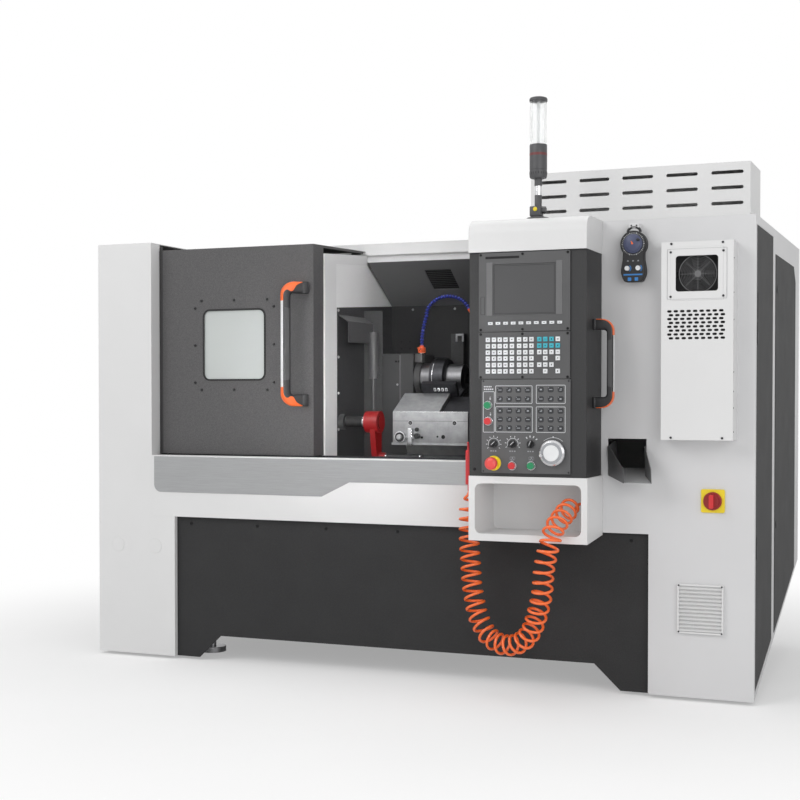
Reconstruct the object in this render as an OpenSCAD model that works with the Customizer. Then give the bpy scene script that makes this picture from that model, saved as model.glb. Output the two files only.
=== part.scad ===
// Slant-bed turning lathe with a sliding door, a swinging operator panel and a coiled air line

/* [Machine] */
// Width over the covers
machine_w = 2620; // [2560:10:2800]
// Depth over the covers
machine_d = 1240; // [1200:10:1400]
// Height of the covers
machine_h = 1650; // [1645:5:1700]
// Thickness of the sheet covers
sheet = 3; // [2:0.5:4]
// Gap between the floor and the covers
floor_gap = 12; // [8:1:20]
// Rise of the side covers' lower edge for each millimetre of depth
skirt_rise = 0.285; // [0.2:0.005:0.3]

/* [Front covers] */
// Width of the left column
column_w = 250; // [240:2:260]
// Width of the recess that the door slides in
opening_w = 1350; // [1330:2:1364]
// Upper edge of the front beam
beam_top = 802; // [790:1:804]
// Lower edge of the front beam
beam_low = 558; // [540:2:580]
// Left end of the lower panel
kick_l = 355; // [340:5:370]
// Width of the white post right of the lower panel
post_w = 362; // [350:2:380]
// Depth that the lower panel is set back
kick_back = 20; // [12:1:30]
// Height of the notch under the lower panel
notch_h = 90; // [60:5:110]
// Width of the lower panel's legs
leg_w = 102; // [80:2:120]
// Run of the slope beside each leg
leg_run = 95; // [80:5:120]
// Height of the lower stainless edge on its left part
sill_low = 655; // [640:5:670]
// Rise of the stainless edge on its right part
sill_step = 57; // [40:1:70]

/* [Door] */
// Width of the door
door_w = 688; // [670:2:690]
// Height of the door's front
door_h = 818; // [800:2:820]
// Depth from the front covers to the door
door_back = 60; // [56:1:64]
// Depth of the door's box
door_d = 90; // [80:1:92]
// Depth of the door's top
door_top_d = 500; // [480:2:504]
// Rise of the door's top to the back
door_top_rise = 16; // [12:1:18]
// Width of the window
window_w = 271; // [240:1:290]
// Height of the window
window_h = 274; // [240:1:290]
// Radius of the window's corners
window_r = 25; // [15:1:35]
// Length of the door handle
handle_len = 478; // [440:2:500]

/* [Spindle and slides] */
// Depth of the spindle axis
spindle_y = 600; // [595:1:610]
// Height of the spindle axis
spindle_z = 1110; // [1100:1:1120]
// Diameter of the spindle shaft
spindle_d = 100; // [80:1:106]
// Diameter of the collet chuck
chuck_d = 165; // [140:1:166]
// Slope of the bed
slant_deg = 30; // [30:0.5:31]
// Distance of the bed's face below the spindle axis
bed_drop = 270; // [265:1:280]
// Width of each box way
way_w = 60; // [40:1:70]
// Height of each box way
way_h = 25; // [18:1:30]
// Width of the tool slide's head
head_w = 315; // [300:1:320]

/* [Operator panel] */
// Width of the operator panel
panel_w = 418; // [410:1:430]
// Depth of the operator panel
panel_d = 210; // [200:1:220]
// Height of the panel's black box
panel_h = 775; // [760:1:780]
// Height of the cap over the box
cap_h = 115; // [105:1:116]
// Height of the tray under the box
tray_h = 225; // [200:1:235]
// Radius of the cap's front edge
cap_r = 52; // [30:1:52]
// Length of the panel handle
grip_len = 305; // [260:1:330]
// Height of the signal lamp
lamp_h = 429; // [400:1:450]

/* [Fits] */
// Radial clearance of running fits
run_fit = 0.05; // [0.02:0.01:0.1]
// Clearance of slides and seats
slide_fit = 0.3; // [0.2:0.05:0.5]

/* [Hidden] */
$fn = 48;

// Colours
white_paint = [0.87, 0.87, 0.87];
grey_paint = [0.31, 0.31, 0.31];
black_paint = [0.19, 0.19, 0.2];
steel = [0.66, 0.67, 0.68];
iron = [0.35, 0.36, 0.37];
orange = [1, 0.41, 0.16];
red = [0.8, 0.16, 0.18];
green = [0, 0.51, 0.31];
yellow = [0.94, 0.86, 0.08];
blue = [0.18, 0.22, 0.59];

// Reach of a cutting tool past the piece that it cuts
over = 1;
// Reach of a half space that trims a piece
far = 2000;

// Outer reach
panel_gap = 2;
estop_out = 45;
side_cover_t = 2;
origin_x = (machine_w + side_cover_t) / 2;
origin_y = (machine_d - panel_d - panel_gap - estop_out) / 2;
wall_l = column_w + opening_w;
kick_r = machine_w - post_w;

// Door
door_l = column_w + 2;
door_r = door_l + door_w;
door_z = beam_top + 4;
door_top_z = door_z + door_h;
door_rear = door_back + door_top_d;
window_x = door_l + 205;
window_z = door_z + 297;
window_lap = 17;
handle_reach = 104;
handle_x = door_r - 27;
handle_z = door_z + 193;
grip_w = 34;
grip_t = 22;
elbow_r = 34;

// Work area
beam_in = door_back + door_d + 12;
jamb_y = door_back + door_d + 2;
jamb_x = door_r + 6;
jamb_w = 105;
jamb_low_z = door_top_z - 32;
work_rear = 830;
work_right = wall_l + 190;
guard_x = jamb_x + sheet;
guard_top = 1427;
rail_t = 18;
roof_front = door_rear + 6;
roof_lift = 22;
roof_low = door_top_z - 29;
roof_rib = 40;
jamb_slope = 0.066;
jamb_leg = 36;
rail_z = leg_z(roof_front) + sheet;
lip_d = 40;
sill_floor = beam_top - 22;
guide_y = door_back + door_d - 28;
guide_t = 8;
guide_top = door_z - slide_fit;
rail_h = 6;

// Casting and slides
base_top = 560;
cast_l = 280;
cast_r = machine_w - 300;
cast_f = 200;
foot_y = cast_f + 40;
cast_b = 1150;
cast_z = 100;
bed_l = 480;
bed_f = 440;
bed_b = 960;
cast_wall = 40;
foot_d = 110;
stud_d = 30;
feet = [[cast_l + 120, cast_f + cast_wall / 2], [cast_r - 120, cast_f + cast_wall / 2],
    [cast_l + 120, cast_b - cast_wall / 2], [(cast_l + cast_r) / 2, cast_b - cast_wall / 2],
    [cast_r - 120, cast_b - cast_wall / 2]];
head_l = 480;
head_r = 1168;
nose_x = head_r;
head_f = spindle_y - 72;
head_b = spindle_y + 160;
head_top = spindle_z + 102;
return_y = head_f - sheet;
way_u = [-300, 0];
bed_v = -bed_drop;
saddle_l = 1190;
saddle_w = 290;
saddle_u = [-326, 84];
saddle_v = [bed_v + 8, bed_v + 105];
slide_v = saddle_v[1] + slide_fit;
slide_t = 55;
slide_top = slide_v + slide_t;
slide_u = [-326, 30];
tool_l = head_r + 4;
tool_f = spindle_y - 300;
tool_low = spindle_z - 265;
tool_u = -182;
tool_v = 34;
tool_plate_w = 195;
nose_w = 70;
chuck_w = 66;
collet_w = 74;
collet_d = 118;
bar_d = 42;
hub_y = 296;
hub_z = 935;
hub_d = 86;
hub_l = jamb_x + 117;
hub_w = 58;
hub_r = hub_l + hub_w;
hub_shaft_d = 40;

// Operator panel
panel_l = wall_l + 72;
panel_r = panel_l + panel_w;
panel_f = -panel_gap - panel_d;
panel_z = 760;
panel_top = panel_z + panel_h;
cap_top = panel_top + cap_h;
tray_z = panel_z - tray_h;
tray_wall = 23;
tray_r = 22;
tray_rise = 15;
plate_t = 6;
box_f = panel_f + plate_t;
hinge_r = 7.5;
hinge_pin = 8;
hinge_x = panel_l - hinge_r - 0.5;
hinge_y = -panel_gap - hinge_r + 1.5;
hinge_zs = [panel_z + 90, panel_top - 90];
lug_h = 30;
unit_l = panel_l + 36;
unit_w = 326;
unit_z = panel_z + 337;
unit_split = unit_z + 162;
plate_l = panel_l + 47;
plate_w = 317;
plate_z = panel_z + 12;
plate_h = 323;
grip_z = panel_z + 237;
grip_y = -110;
grip_reach = 71;
lamp_x = panel_l + 216;
lamp_y = -100;
button_d = 24;
button_travel = 4;
stem_d = 10;
estop_at = [panel_l + 92, panel_z + 46];
start_at = [panel_l + 71, panel_z + 246];
stop_at = [panel_l + 72, panel_z + 191];
power_off_at = [panel_l + 159, panel_z + 38];
power_on_at = [panel_l + 227, panel_z + 39];
selector_at = [[panel_l + 91, panel_z + 113], [panel_l + 160, panel_z + 113],
    [panel_l + 225, panel_z + 113]];
wheel_at = [panel_l + 304, panel_z + 84];
wheel_d = 88;
stems = concat([estop_at, start_at, stop_at, power_off_at, power_on_at, wheel_at], selector_at);

// Fittings on the right wall
hole_l = panel_r + 24;
hole_w = 136;
hole_z = 759;
hole_h = 130;
cooler = [panel_r + 227, 889];
cooler_w = 242;
cooler_h = 669;
cooler_d = 85;
cooler_t = 2;
fan_at = [cooler[0] + 120, cooler[1] + 561];
fan_w = 142;
fan_h = 120;
fan_d = 112;
fan_shaft = 8;
switch_at = [machine_w - 140, 680];
switch_w = 80;
grille = [machine_w - 259, 223];
grille_w = 157;
grille_h = 170;
grille_d = 12;
louvres = 12;
pendant = [panel_r + 122, 1561];
pendant_y = -14;
pendant_d = 36;
pendant_wheel_d = 76;
pendant_knob_at = [for (side = [-1, 1]) [pendant[0] + side * 19, pendant[1] - 84]];

// Right side
side_gap = 2;
cab_y = [20, 432];
cab_top = machine_h - 32;
cab_rim = 22;
cab_fold = 20;
cab_pin = 8;
cab_pin_at = [machine_w - 9, cab_y[1] - 12];
cover_y = [490, 1100];
cover_top = 1560;
cover_cut = 60;
vent = [machine_w - 850, 200];
vent_w = 801;
vent_d = 240;
vent_h = 212;
vent_slot_w = 112;

// Coiled air line: outer diameter and the route of its middle from the tray to the air gun, measured
// from the panel's lower left corner
coil_d = 76;
coil_points = [
    [380, -112, -96], [368, -112, -96], [350, -126, -104], [338, -160, -118], [330, -190, -136],
    [322, -222, -156], [314, -250, -184], [306, -262, -225], [296, -264, -267], [286, -260, -317],
    [278, -252, -389], [262, -242, -450], [234, -222, -520], [198, -202, -564], [148, -182, -588],
    [96, -166, -587], [50, -150, -564], [22, -140, -526], [2, -132, -486], [-10, -125, -441],
    [-20, -118, -400], [-27, -110, -350], [-33, -102, -298], [-39, -95, -250], [-42, -90, -195],
    [-42, -90, -135], [-40, -95, -80], [-40, -95, -60]
];
coil_route = [for (p = coil_points) p + [panel_l, 0, panel_z]];
coil_sides = 10;

// Point on the slope at u along it and v above it, measured from the spindle axis, as [y, z]
function on_slope(u, v) = [
    spindle_y + u * cos(slant_deg) - v * sin(slant_deg),
    spindle_z + u * sin(slant_deg) + v * cos(slant_deg)
];
// Height of the plane v above the slope at the depth y
function slope_z(y, v) = spindle_z + (v + (y - spindle_y) * sin(slant_deg)) / cos(slant_deg);
// Lower edge of the side covers at the depth y
function skirt(y) = skirt_rise * y;
// Underside of the inner left cover's top at the depth y
function leg_z(y) = jamb_low_z + (y - jamb_y) * jamb_slope;
// Upper face of the door's top at the depth y
function door_top(y) = door_top_z + (y - door_back) * door_top_rise / door_top_d;

// Direction of a route at its point i
function unit(v) = v / norm(v);
function heading(route, i) = unit(route[min(i + 1, len(route) - 1)] - route[max(i - 1, 0)]);
// Ring of points around a route
function ring(at, along, r, sides) = let (out = unit([0, 1, 0] - along[1] * along))
    [for (k = [0 : sides - 1])
        at + r * (cos(k * 360 / sides) * out + sin(k * 360 / sides) * cross(along, out))];

// Moves the machine's front left corner so that the part stands on its own origin
module place() {
    translate([-origin_x, -origin_y, floor_gap]) children();
}

// Box between two corners
module block(lo, hi) {
    translate(lo) cube(hi - lo);
}

// Outline in X and Z, extruded to the back from y
module wall_xz(y, t) {
    translate([0, y + t, 0]) rotate([90, 0, 0]) linear_extrude(t) children();
}

// Outline in Y and Z, extruded to the right from x
module wall_yz(x, t) {
    translate([x, 0, 0]) rotate([90, 0, 90]) linear_extrude(t) children();
}

// Round bars along the three axes
module rod_x(x0, x1, y, z, d) {
    translate([x0, y, z]) rotate([0, 90, 0]) cylinder(h = x1 - x0, d = d);
}
module rod_y(x, y0, y1, z, d) {
    translate([x, y0, z]) rotate([-90, 0, 0]) cylinder(h = y1 - y0, d = d);
}
module rod_z(x, y, z0, z1, d) {
    translate([x, y, z0]) cylinder(h = z1 - z0, d = d);
}

// Rectangle with round corners
module rounded(lo, size, r) {
    translate(lo) {
        translate([r, 0]) square([size[0] - 2 * r, size[1]]);
        translate([0, r]) square([size[0], size[1] - 2 * r]);
        for (x = [r, size[0] - r], y = [r, size[1] - r]) translate([x, y]) circle(r);
    }
}

// Slot with round ends, lying along X
module slot(lo, w, h) {
    rounded(lo, [w, h], h / 2 - 0.01);
}

// Frame of the slanted bed: Y runs up the slope and Z stands on it, from the spindle axis
module slanted() {
    translate([0, spindle_y, spindle_z]) rotate([slant_deg, 0, 0]) children();
}

// Section of the slanted bed above the casting's flat top
module bed_section() {
    polygon([[bed_f, base_top], [bed_f, slope_z(bed_f, bed_v)], [bed_b, slope_z(bed_b, bed_v)],
        [bed_b, base_top]]);
}

// Closed skin over a row of rings
module skin(rings) {
    sides = len(rings[0]);
    last = len(rings) - 1;
    walls = [for (i = [0 : last - 1], k = [0 : sides - 1]) let (n = (k + 1) % sides)
        [i * sides + k, (i + 1) * sides + k, (i + 1) * sides + n, i * sides + n]];
    start = [for (k = [0 : sides - 1]) k];
    end = [for (k = [sides - 1 : -1 : 0]) last * sides + k];
    polyhedron([for (points = rings, p = points) p], concat(walls, [start], [end]), convexity = 6);
}

// Bow handle that stands out along X from x = 0, with its bar along Z from z = 0
module bow(len, reach, inset) {
    straight = len - 2 * elbow_r;
    module section() {
        translate([0, -(grip_w - grip_t) / 2]) circle(d = grip_t);
        translate([0, (grip_w - grip_t) / 2]) circle(d = grip_t);
        square([grip_t, grip_w - grip_t], center = true);
    }
    bend = elbow_r - grip_t / 2;
    translate([reach - grip_t / 2, 0, elbow_r]) linear_extrude(straight) section();
    for (end = [0, 1]) {
        translate([0, 0, end * len]) mirror([0, 0, end]) {
            translate([reach - elbow_r, 0, elbow_r]) rotate([-90, 0, 0])
                rotate_extrude(angle = 90) translate([bend, 0]) section();
            translate([-inset, 0, grip_t / 2]) rotate([0, 90, 0])
                linear_extrude(reach - elbow_r + inset) section();
        }
    }
}

module bed_casting() {
    bays = 4;
    bay = (cast_r - cast_l - cast_wall) / bays;
    color(iron) place() difference() {
        union() {
            block([cast_l, cast_f, cast_z], [cast_r, cast_b, base_top]);
            wall_yz(bed_l, work_right - sheet - bed_l) bed_section();
            slanted() for (u = way_u)
                block([head_r + 4, u, bed_v - over], [work_right - 40, u + way_w, bed_v + way_h]);
        }
        for (i = [0 : bays - 1])
            translate([cast_l + cast_wall + i * bay, 0, 0])
                block([0, cast_f + cast_wall, cast_z - over],
                    [bay - cast_wall, cast_b - cast_wall, base_top - cast_wall]);
    }
}

module levelling_feet() {
    pad_h = 22;
    color(steel) place() for (at = feet) {
        rod_z(at[0], at[1], -floor_gap, pad_h - floor_gap, foot_d);
        rod_z(at[0], at[1], pad_h - floor_gap - over, cast_z, stud_d);
    }
}

module headstock() {
    joint_x = 1108;
    plate_drop = 8;
    color(iron) place() difference() {
        block([head_l, head_f, base_top], [head_r, head_b, head_top]);
        wall_yz(head_l - over, head_r - head_l + 2 * over) bed_section();
        rod_x(head_l - over, nose_x + over, spindle_y, spindle_z, spindle_d + 2 * run_fit);
        block([joint_x - 4, head_f - over, base_top], [joint_x + 4, head_f + plate_drop, head_top + over]);
        block([head_l - over, head_f - over, base_top], [joint_x, head_f + plate_drop, head_top + over]);
    }
}

// Mounting plate of the electrical cabinet with its devices in rows
module electrics_plate() {
    plate_x = work_right + 60;
    rows = 5;
    columns = 6;
    device_w = 56;
    device_h = 130;
    pitch_y = 64;
    pitch_z = (machine_h - base_top - 150) / rows;
    depth = [110, 70, 90, 130, 60, 100];
    color(steel) place() {
        wall_yz(plate_x, sheet) translate([60, base_top]) square([420, machine_h - base_top - 110]);
        for (r = [0 : rows - 1], i = [0 : columns - 1])
            translate([plate_x + sheet, 80 + i * pitch_y, base_top + 40 + r * pitch_z])
                cube([depth[(i + r) % columns], device_w, device_h]);
        block([plate_x - 20, 60, base_top], [plate_x, 480, base_top + 20]);
    }
}

module left_front_cover() {
    plug_d = 58;
    color(white_paint) place() {
        wall_xz(0, sheet) polygon([[0, 0], [kick_l, 0], [kick_l, beam_low], [column_w, beam_low],
            [column_w, machine_h], [0, machine_h]]);
        block([column_w - sheet, 0, beam_top], [column_w, door_back + 5, machine_h - sheet]);
        block([kick_l - sheet, 0, 0], [kick_l, kick_back, beam_low]);
        for (x = [90, 265]) rod_y(x, -1, over, 437, plug_d);
    }
}

module left_side_cover() {
    bar_hole_d = 80;
    color(white_paint) place() wall_yz(0, sheet) difference() {
        polygon([[sheet, skirt(sheet)], [machine_d, skirt(machine_d)],
            [machine_d, machine_h], [sheet, machine_h]]);
        translate([spindle_y, spindle_z]) circle(d = bar_hole_d);
    }
}

// Folded beam under the door: front, sill, and the inner slope down to the casting
module front_beam() {
    color(white_paint) place() {
        block([column_w, 0, beam_low], [wall_l, sheet, beam_top]);
        block([column_w, 0, beam_low], [wall_l, kick_back, beam_low + sheet]);
        wall_yz(column_w, work_right - column_w) polygon([[sheet, beam_top - sheet],
            [lip_d - sheet, beam_top - sheet], [lip_d - sheet, sill_floor - sheet],
            [beam_in, sill_floor - sheet], [beam_in, sill_floor], [lip_d, sill_floor],
            [lip_d, beam_top], [sheet, beam_top]]);
        wall_yz(cast_l, work_right - cast_l) polygon([[beam_in - 2 * sheet, sill_floor - sheet],
            [beam_in, sill_floor - sheet], [foot_y, base_top], [foot_y - sheet, base_top]]);
    }
}

module sill_plate() {
    sill_t = 2;
    sill_top = beam_top - 5;
    corner = 30;
    step_x = column_w + 753;
    step_run = 116;
    color(steel) place() wall_xz(-sill_t, sill_t) {
        polygon([[column_w + 12, sill_top], [column_w + 12, sill_low + corner],
            [column_w + 12 + corner, sill_low + corner], [column_w + 12 + corner, sill_low],
            [step_x, sill_low], [step_x + step_run, sill_low + sill_step],
            [wall_l + 40, sill_low + sill_step], [wall_l + 40, sill_top]]);
        translate([column_w + 12 + corner, sill_low + corner]) circle(corner);
    }
}

// Black panel below the beam, with legs at its ends
module lower_panel() {
    lap = 15;
    color(black_paint) place() wall_xz(kick_back, sheet)
        polygon([[kick_l - lap, 0], [kick_l + leg_w, 0], [kick_l + leg_w + leg_run, notch_h],
            [kick_r - leg_w - leg_run, notch_h], [kick_r - leg_w, 0], [kick_r + lap, 0],
            [kick_r + lap, beam_low + lap], [kick_l - lap, beam_low + lap]]);
}

module right_wall() {
    color(white_paint) place() {
        difference() {
            wall_xz(0, sheet) polygon([[wall_l, beam_low], [kick_r, beam_low], [kick_r, 0],
                [machine_w, 0], [machine_w, machine_h], [wall_l, machine_h]]);
            block([hole_l, -over, hole_z], [hole_l + hole_w, sheet + over, hole_z + hole_h]);
        }
        block([wall_l, 0, beam_top], [wall_l + sheet, door_back - 10, machine_h - sheet]);
        block([wall_l, 0, beam_low], [kick_r + sheet, kick_back, beam_low + sheet]);
        block([kick_r, 0, 0], [kick_r + sheet, kick_back, beam_low]);
        for (z = hinge_zs) difference() {
            union() {
                rod_z(hinge_x, hinge_y, z, z + lug_h, 2 * hinge_r);
                block([hinge_x - hinge_r, hinge_y, z], [hinge_x + hinge_r, over, z + lug_h]);
            }
            rod_z(hinge_x, hinge_y, z - over, z + lug_h + over, hinge_pin + 2 * run_fit);
        }
    }
}

// Opening of the cabinet in the right side, shrunk by a margin
module cabinet_outline(front, rear, low, top) {
    polygon([[cab_y[0] + front, skirt(cab_y[0] + front) + cab_rim + low],
        [cab_y[1] - rear, skirt(cab_y[1] - rear) + cab_rim + low],
        [cab_y[1] - rear, cab_top - top], [cab_y[0] + front, cab_top - top]]);
}

module side_frame() {
    lug_t = 12;
    lug_low = skirt(cab_y[1] - 20) + cab_rim - 4;
    color(white_paint) place() {
        wall_yz(machine_w - sheet, sheet) difference() {
            polygon([[sheet, skirt(sheet)], [machine_d, skirt(machine_d)],
                [machine_d, machine_h], [sheet, machine_h]]);
            cabinet_outline(0, 0, 0, 0);
        }
        for (z = [lug_low - lug_t, cab_top]) difference() {
            block([cab_pin_at[0] - 9, cab_pin_at[1] - 9, z],
                [machine_w - sheet, cab_pin_at[1] + 18, z + lug_t]);
            rod_z(cab_pin_at[0], cab_pin_at[1], z - over, z + lug_t + over, cab_pin + 2 * run_fit);
        }
    }
}

// Hinged door of the electrical cabinet, a pan with pivot pins at its rear edge
module cabinet_door() {
    rear = 2 * side_gap + 2;
    lug_low = skirt(cab_y[1] - 20) + cab_rim - 4;
    low_gap = 3 * side_gap;
    boss_z = skirt(cab_y[1]) + cab_rim + low_gap;
    slot_z = 1300;
    color(grey_paint) place() difference() {
        union() {
            difference() {
                wall_yz(machine_w - cab_fold, cab_fold)
                    cabinet_outline(side_gap, rear, low_gap, side_gap);
                wall_yz(machine_w - cab_fold - over, cab_fold - sheet + over)
                    cabinet_outline(side_gap + sheet, rear + sheet, low_gap + sheet, side_gap + sheet);
            }
            block([machine_w - 2 * sheet - 12, cab_y[1] - rear - 16, boss_z],
                [machine_w - over, cab_y[1] - rear - over, boss_z + 24]);
            rod_z(cab_pin_at[0], cab_pin_at[1], lug_low - 11, boss_z + over, cab_pin);
            rod_z(cab_pin_at[0], cab_pin_at[1], cab_top - side_gap - sheet, cab_top + 11, cab_pin);
        }
        wall_yz(machine_w - 1.5, 1.5 + over) rounded([cab_y[0] + 16, slot_z], [14, 90], 5);
    }
}

// Fixed black cover on the rear part of the right side
module side_rear_cover() {
    color(grey_paint) place() wall_yz(machine_w, side_cover_t)
        polygon([[cover_y[0], skirt(cover_y[0]) + cab_rim], [cover_y[1], skirt(cover_y[1]) + cab_rim],
            [cover_y[1], cover_top - cover_cut], [cover_y[1] - cover_cut, cover_top],
            [cover_y[0], cover_top]]);
}

// Roof with the raised rib behind the door's top
module roof_cover() {
    color(white_paint) place() {
        difference() {
            block([sheet, sheet, machine_h - sheet],
                [machine_w - sheet, machine_d - sheet, machine_h]);
            block([column_w, 0, machine_h - 2 * sheet],
                [wall_l, roof_front + over, machine_h + sheet]);
        }
        difference() {
            block([column_w, roof_front, roof_low],
                [wall_l, roof_front + roof_rib, machine_h + roof_lift]);
            block([column_w + sheet, roof_front + sheet, roof_low - over],
                [wall_l - sheet, roof_front + roof_rib - sheet, machine_h + roof_lift - sheet]);
        }
        block([wall_l - sheet, sheet, roof_low], [wall_l, roof_front + over, machine_h]);
    }
}

module rear_cover() {
    color(white_paint) place()
        block([sheet, machine_d - sheet, skirt(machine_d)],
            [machine_w - sheet, machine_d, machine_h - sheet]);
}

module vent_box() {
    pitch = 160;
    rows = [62, 117, 171];
    margin = (vent_w - 4 * pitch - vent_slot_w) / 2;
    color(white_paint) place() difference() {
        block([vent[0], vent[1], machine_h], [vent[0] + vent_w, vent[1] + vent_d, machine_h + vent_h]);
        block([vent[0] + sheet, vent[1] + sheet, machine_h - over],
            [vent[0] + vent_w - sheet, vent[1] + vent_d - sheet, machine_h + vent_h - sheet]);
        wall_xz(vent[1] - over, sheet + 2 * over) for (i = [0 : 4], z = rows)
            slot([vent[0] + margin + i * pitch, machine_h + z], vent_slot_w, 12);
    }
}

// Rails that guide the door: a bar in the sill's channel and a ledge under the roof's rib
module door_rails() {
    color(steel) place() {
        block([column_w + 2, guide_y, sill_floor], [wall_l - 10, guide_y + guide_t, guide_top]);
        block([column_w + 2, roof_front - rail_t, rail_z],
            [wall_l - 10, roof_front, rail_z + rail_h]);
    }
}

// Inner left cover that the open door stands before, with the white jamb at its edge
module jamb_cover() {
    module leg(low) {
        polygon([[jamb_y, leg_z(jamb_y) - low], [roof_front, leg_z(roof_front) - low],
            [roof_front, leg_z(roof_front) + sheet], [jamb_y, leg_z(jamb_y) + sheet]]);
    }
    color(white_paint) place() {
        block([column_w, jamb_y, sill_floor], [jamb_x, jamb_y + sheet, jamb_low_z + 1]);
        block([jamb_x - sheet, jamb_y, sill_floor], [jamb_x, jamb_y + jamb_w, jamb_low_z]);
        wall_yz(column_w, jamb_x - column_w) leg(0);
        wall_yz(jamb_x - sheet, sheet) leg(jamb_leg);
    }
}

// Sheet that closes the spindle's side of the work area
module inner_side_wall() {
    y0 = jamb_y + jamb_w;
    gap = 3;
    color(white_paint) place() wall_yz(jamb_x - sheet, sheet) difference() {
        polygon([[y0, base_top], [head_f - gap, base_top], [head_f - gap, head_top + gap],
            [head_b + gap, head_top + gap], [head_b + gap, base_top], [work_rear, base_top],
            [work_rear, guard_top], [roof_front, leg_z(roof_front) - jamb_leg],
            [y0, leg_z(y0) - jamb_leg]]);
        bed_section();
    }
}

// Sloped ceiling of the work area with its square air vent
module ceiling_panel() {
    vent_l = 1180;
    vent_s = 116;
    vent_y = 620;
    color(grey_paint) place() difference() {
        wall_yz(jamb_x, work_right - jamb_x) polygon([[roof_front, roof_low], [work_rear, guard_top],
            [work_rear, guard_top + sheet], [roof_front + 2 * sheet, roof_low]]);
        block([vent_l, vent_y, guard_top], [vent_l + vent_s, vent_y + vent_s, machine_h]);
    }
}

// Dark splash guard: rear wall, its left wing below the light wall, and the right wall
module splash_guard() {
    wing_y = jamb_y + jamb_w + 4;
    wing_top = guard_top - 37;
    gap = 3;
    bush_d = 64;
    bush_w = 26;
    post = [1236, 40, 1105, 1302];
    return_r = 1032;
    color(black_paint) place() difference() {
        union() {
            block([guard_x, work_rear - sheet, base_top], [work_right - sheet, work_rear, guard_top]);
            wall_yz(jamb_x, sheet) polygon([[wing_y, base_top], [head_f - gap, base_top],
                [head_f - gap, head_top + gap], [head_b + gap, head_top + gap],
                [head_b + gap, base_top], [work_rear, base_top], [work_rear, guard_top],
                [wing_y, wing_top]]);
            wall_yz(work_right - sheet, sheet) polygon([[foot_y + gap, base_top],
                [work_rear, base_top], [work_rear, guard_top], [roof_front, roof_low],
                [beam_in + gap, roof_low], [beam_in + gap, beam_top]]);
            block([jamb_x, return_y, base_top], [return_r, return_y + sheet, wing_top]);
            rod_x(jamb_x, jamb_x + bush_w, hub_y, hub_z, bush_d);
            block([post[0], work_rear - post[1], post[2]], [post[0] + 56, work_rear - over, post[3]]);
        }
        wall_yz(bed_l, work_right - sheet - bed_l) bed_section();
        rod_x(jamb_x - over, jamb_x + bush_w + over, hub_y, hub_z, hub_shaft_d + 2 * run_fit);
    }
}

// Hood on the left wing over the catcher's cylinder, with the cylinder and its rod
module spindle_hood() {
    hood_front = 276;
    hood_low = 1252;
    hood_out = 42;
    hood_fold = 84;
    hood_rise = 26;
    cyl = [guard_x + 54, 498];
    cyl_d = 38;
    cyl_z = [1110, 1340];
    rod_low = 978;
    x0 = guard_x;
    x1 = guard_x + hood_out;
    z1 = hood_low + hood_fold;
    color(grey_paint) place() {
        translate([0, return_y, 0]) rotate([90, 0, 0]) linear_extrude(return_y - hood_front)
            polygon([[x0, z1 + hood_rise], [x1, z1], [x1, hood_low], [x1 - sheet, hood_low],
                [x1 - sheet, z1 - sheet], [x0, z1 + hood_rise - sheet]]);
        rod_z(cyl[0], cyl[1], cyl_z[0], cyl_z[1] - 40, cyl_d);
        rod_z(cyl[0], cyl[1], rod_low, cyl_z[0] + over, cyl_d / 3);
        block([cyl[0] - 15, cyl[1], cyl_z[0] + 20], [cyl[0] + 15, return_y, cyl_z[0] + 50]);
    }
}

// Jointed coolant hose with its valve and block on the headstock
module coolant_hose() {
    at = [head_r + 25, head_f + 32];
    block_h = 36;
    stub_h = 34;
    pitch = 11;
    stem_n = 11;
    lean = 20;
    bow = [95, 78];
    bow_turn = 160;
    bow_n = 22;
    bead = [[-4.8, 6], [-2.5, 8.5], [2.5, 8.5], [4.8, 6]];
    bead_sides = 10;
    stub_z = head_top + stub_h;
    stem_z = stub_z + stem_n * pitch;
    route = concat(
        [for (i = [0 : stem_n]) [at[0] + lean * pow(i / stem_n, 2), at[1], stub_z + i * pitch]],
        [for (i = [1 : bow_n]) [at[0] + lean + bow[0] * (1 - cos(i * bow_turn / bow_n)), at[1],
            stem_z + bow[1] * sin(i * bow_turn / bow_n)]]);
    color(blue) place() {
        block([head_r, at[1] - 16, head_top - block_h], [head_r + 32, at[1] + 16, head_top]);
        rod_z(at[0], at[1], head_top - over, stub_z, 16);
        rod_y(at[0], at[1] - 20, at[1] + 20, head_top + stub_h / 2, 18);
        skin([for (i = [0 : len(route) - 1], b = bead) let (along = heading(route, i))
            ring(route[i] + b[0] * along, along, b[1], bead_sides)]);
    }
}

// Open chute that brings finished parts through the right wall
module part_chute() {
    t = 2;
    gap = 2;
    fall = 10;
    inner = 120;
    outer = 112;
    lip_l = hole_l + 82;
    lip_w = 96;
    wall_h = 104;
    lip_h = 52;
    top_slope = 28;
    module plan(inset, reach) {
        polygon([[hole_l + gap + inset, inner + reach], [hole_l + gap + inset, 0],
            [lip_l + inset, -outer - reach], [lip_l + lip_w - inset, -outer - reach],
            [hole_l + hole_w - gap - inset, 0], [hole_l + hole_w - gap - inset, inner + reach]]);
    }
    color(black_paint) place() translate([0, 0, hole_z]) rotate([fall, 0, 0]) difference() {
        linear_extrude(wall_h) plan(0, 0);
        translate([0, 0, t]) linear_extrude(wall_h) plan(t, over);
        translate([0, -outer - over, lip_h]) rotate([top_slope, 0, 0])
            block([hole_l - over, 0, 0], [lip_l + lip_w + over, far, far]);
    }
}

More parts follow.
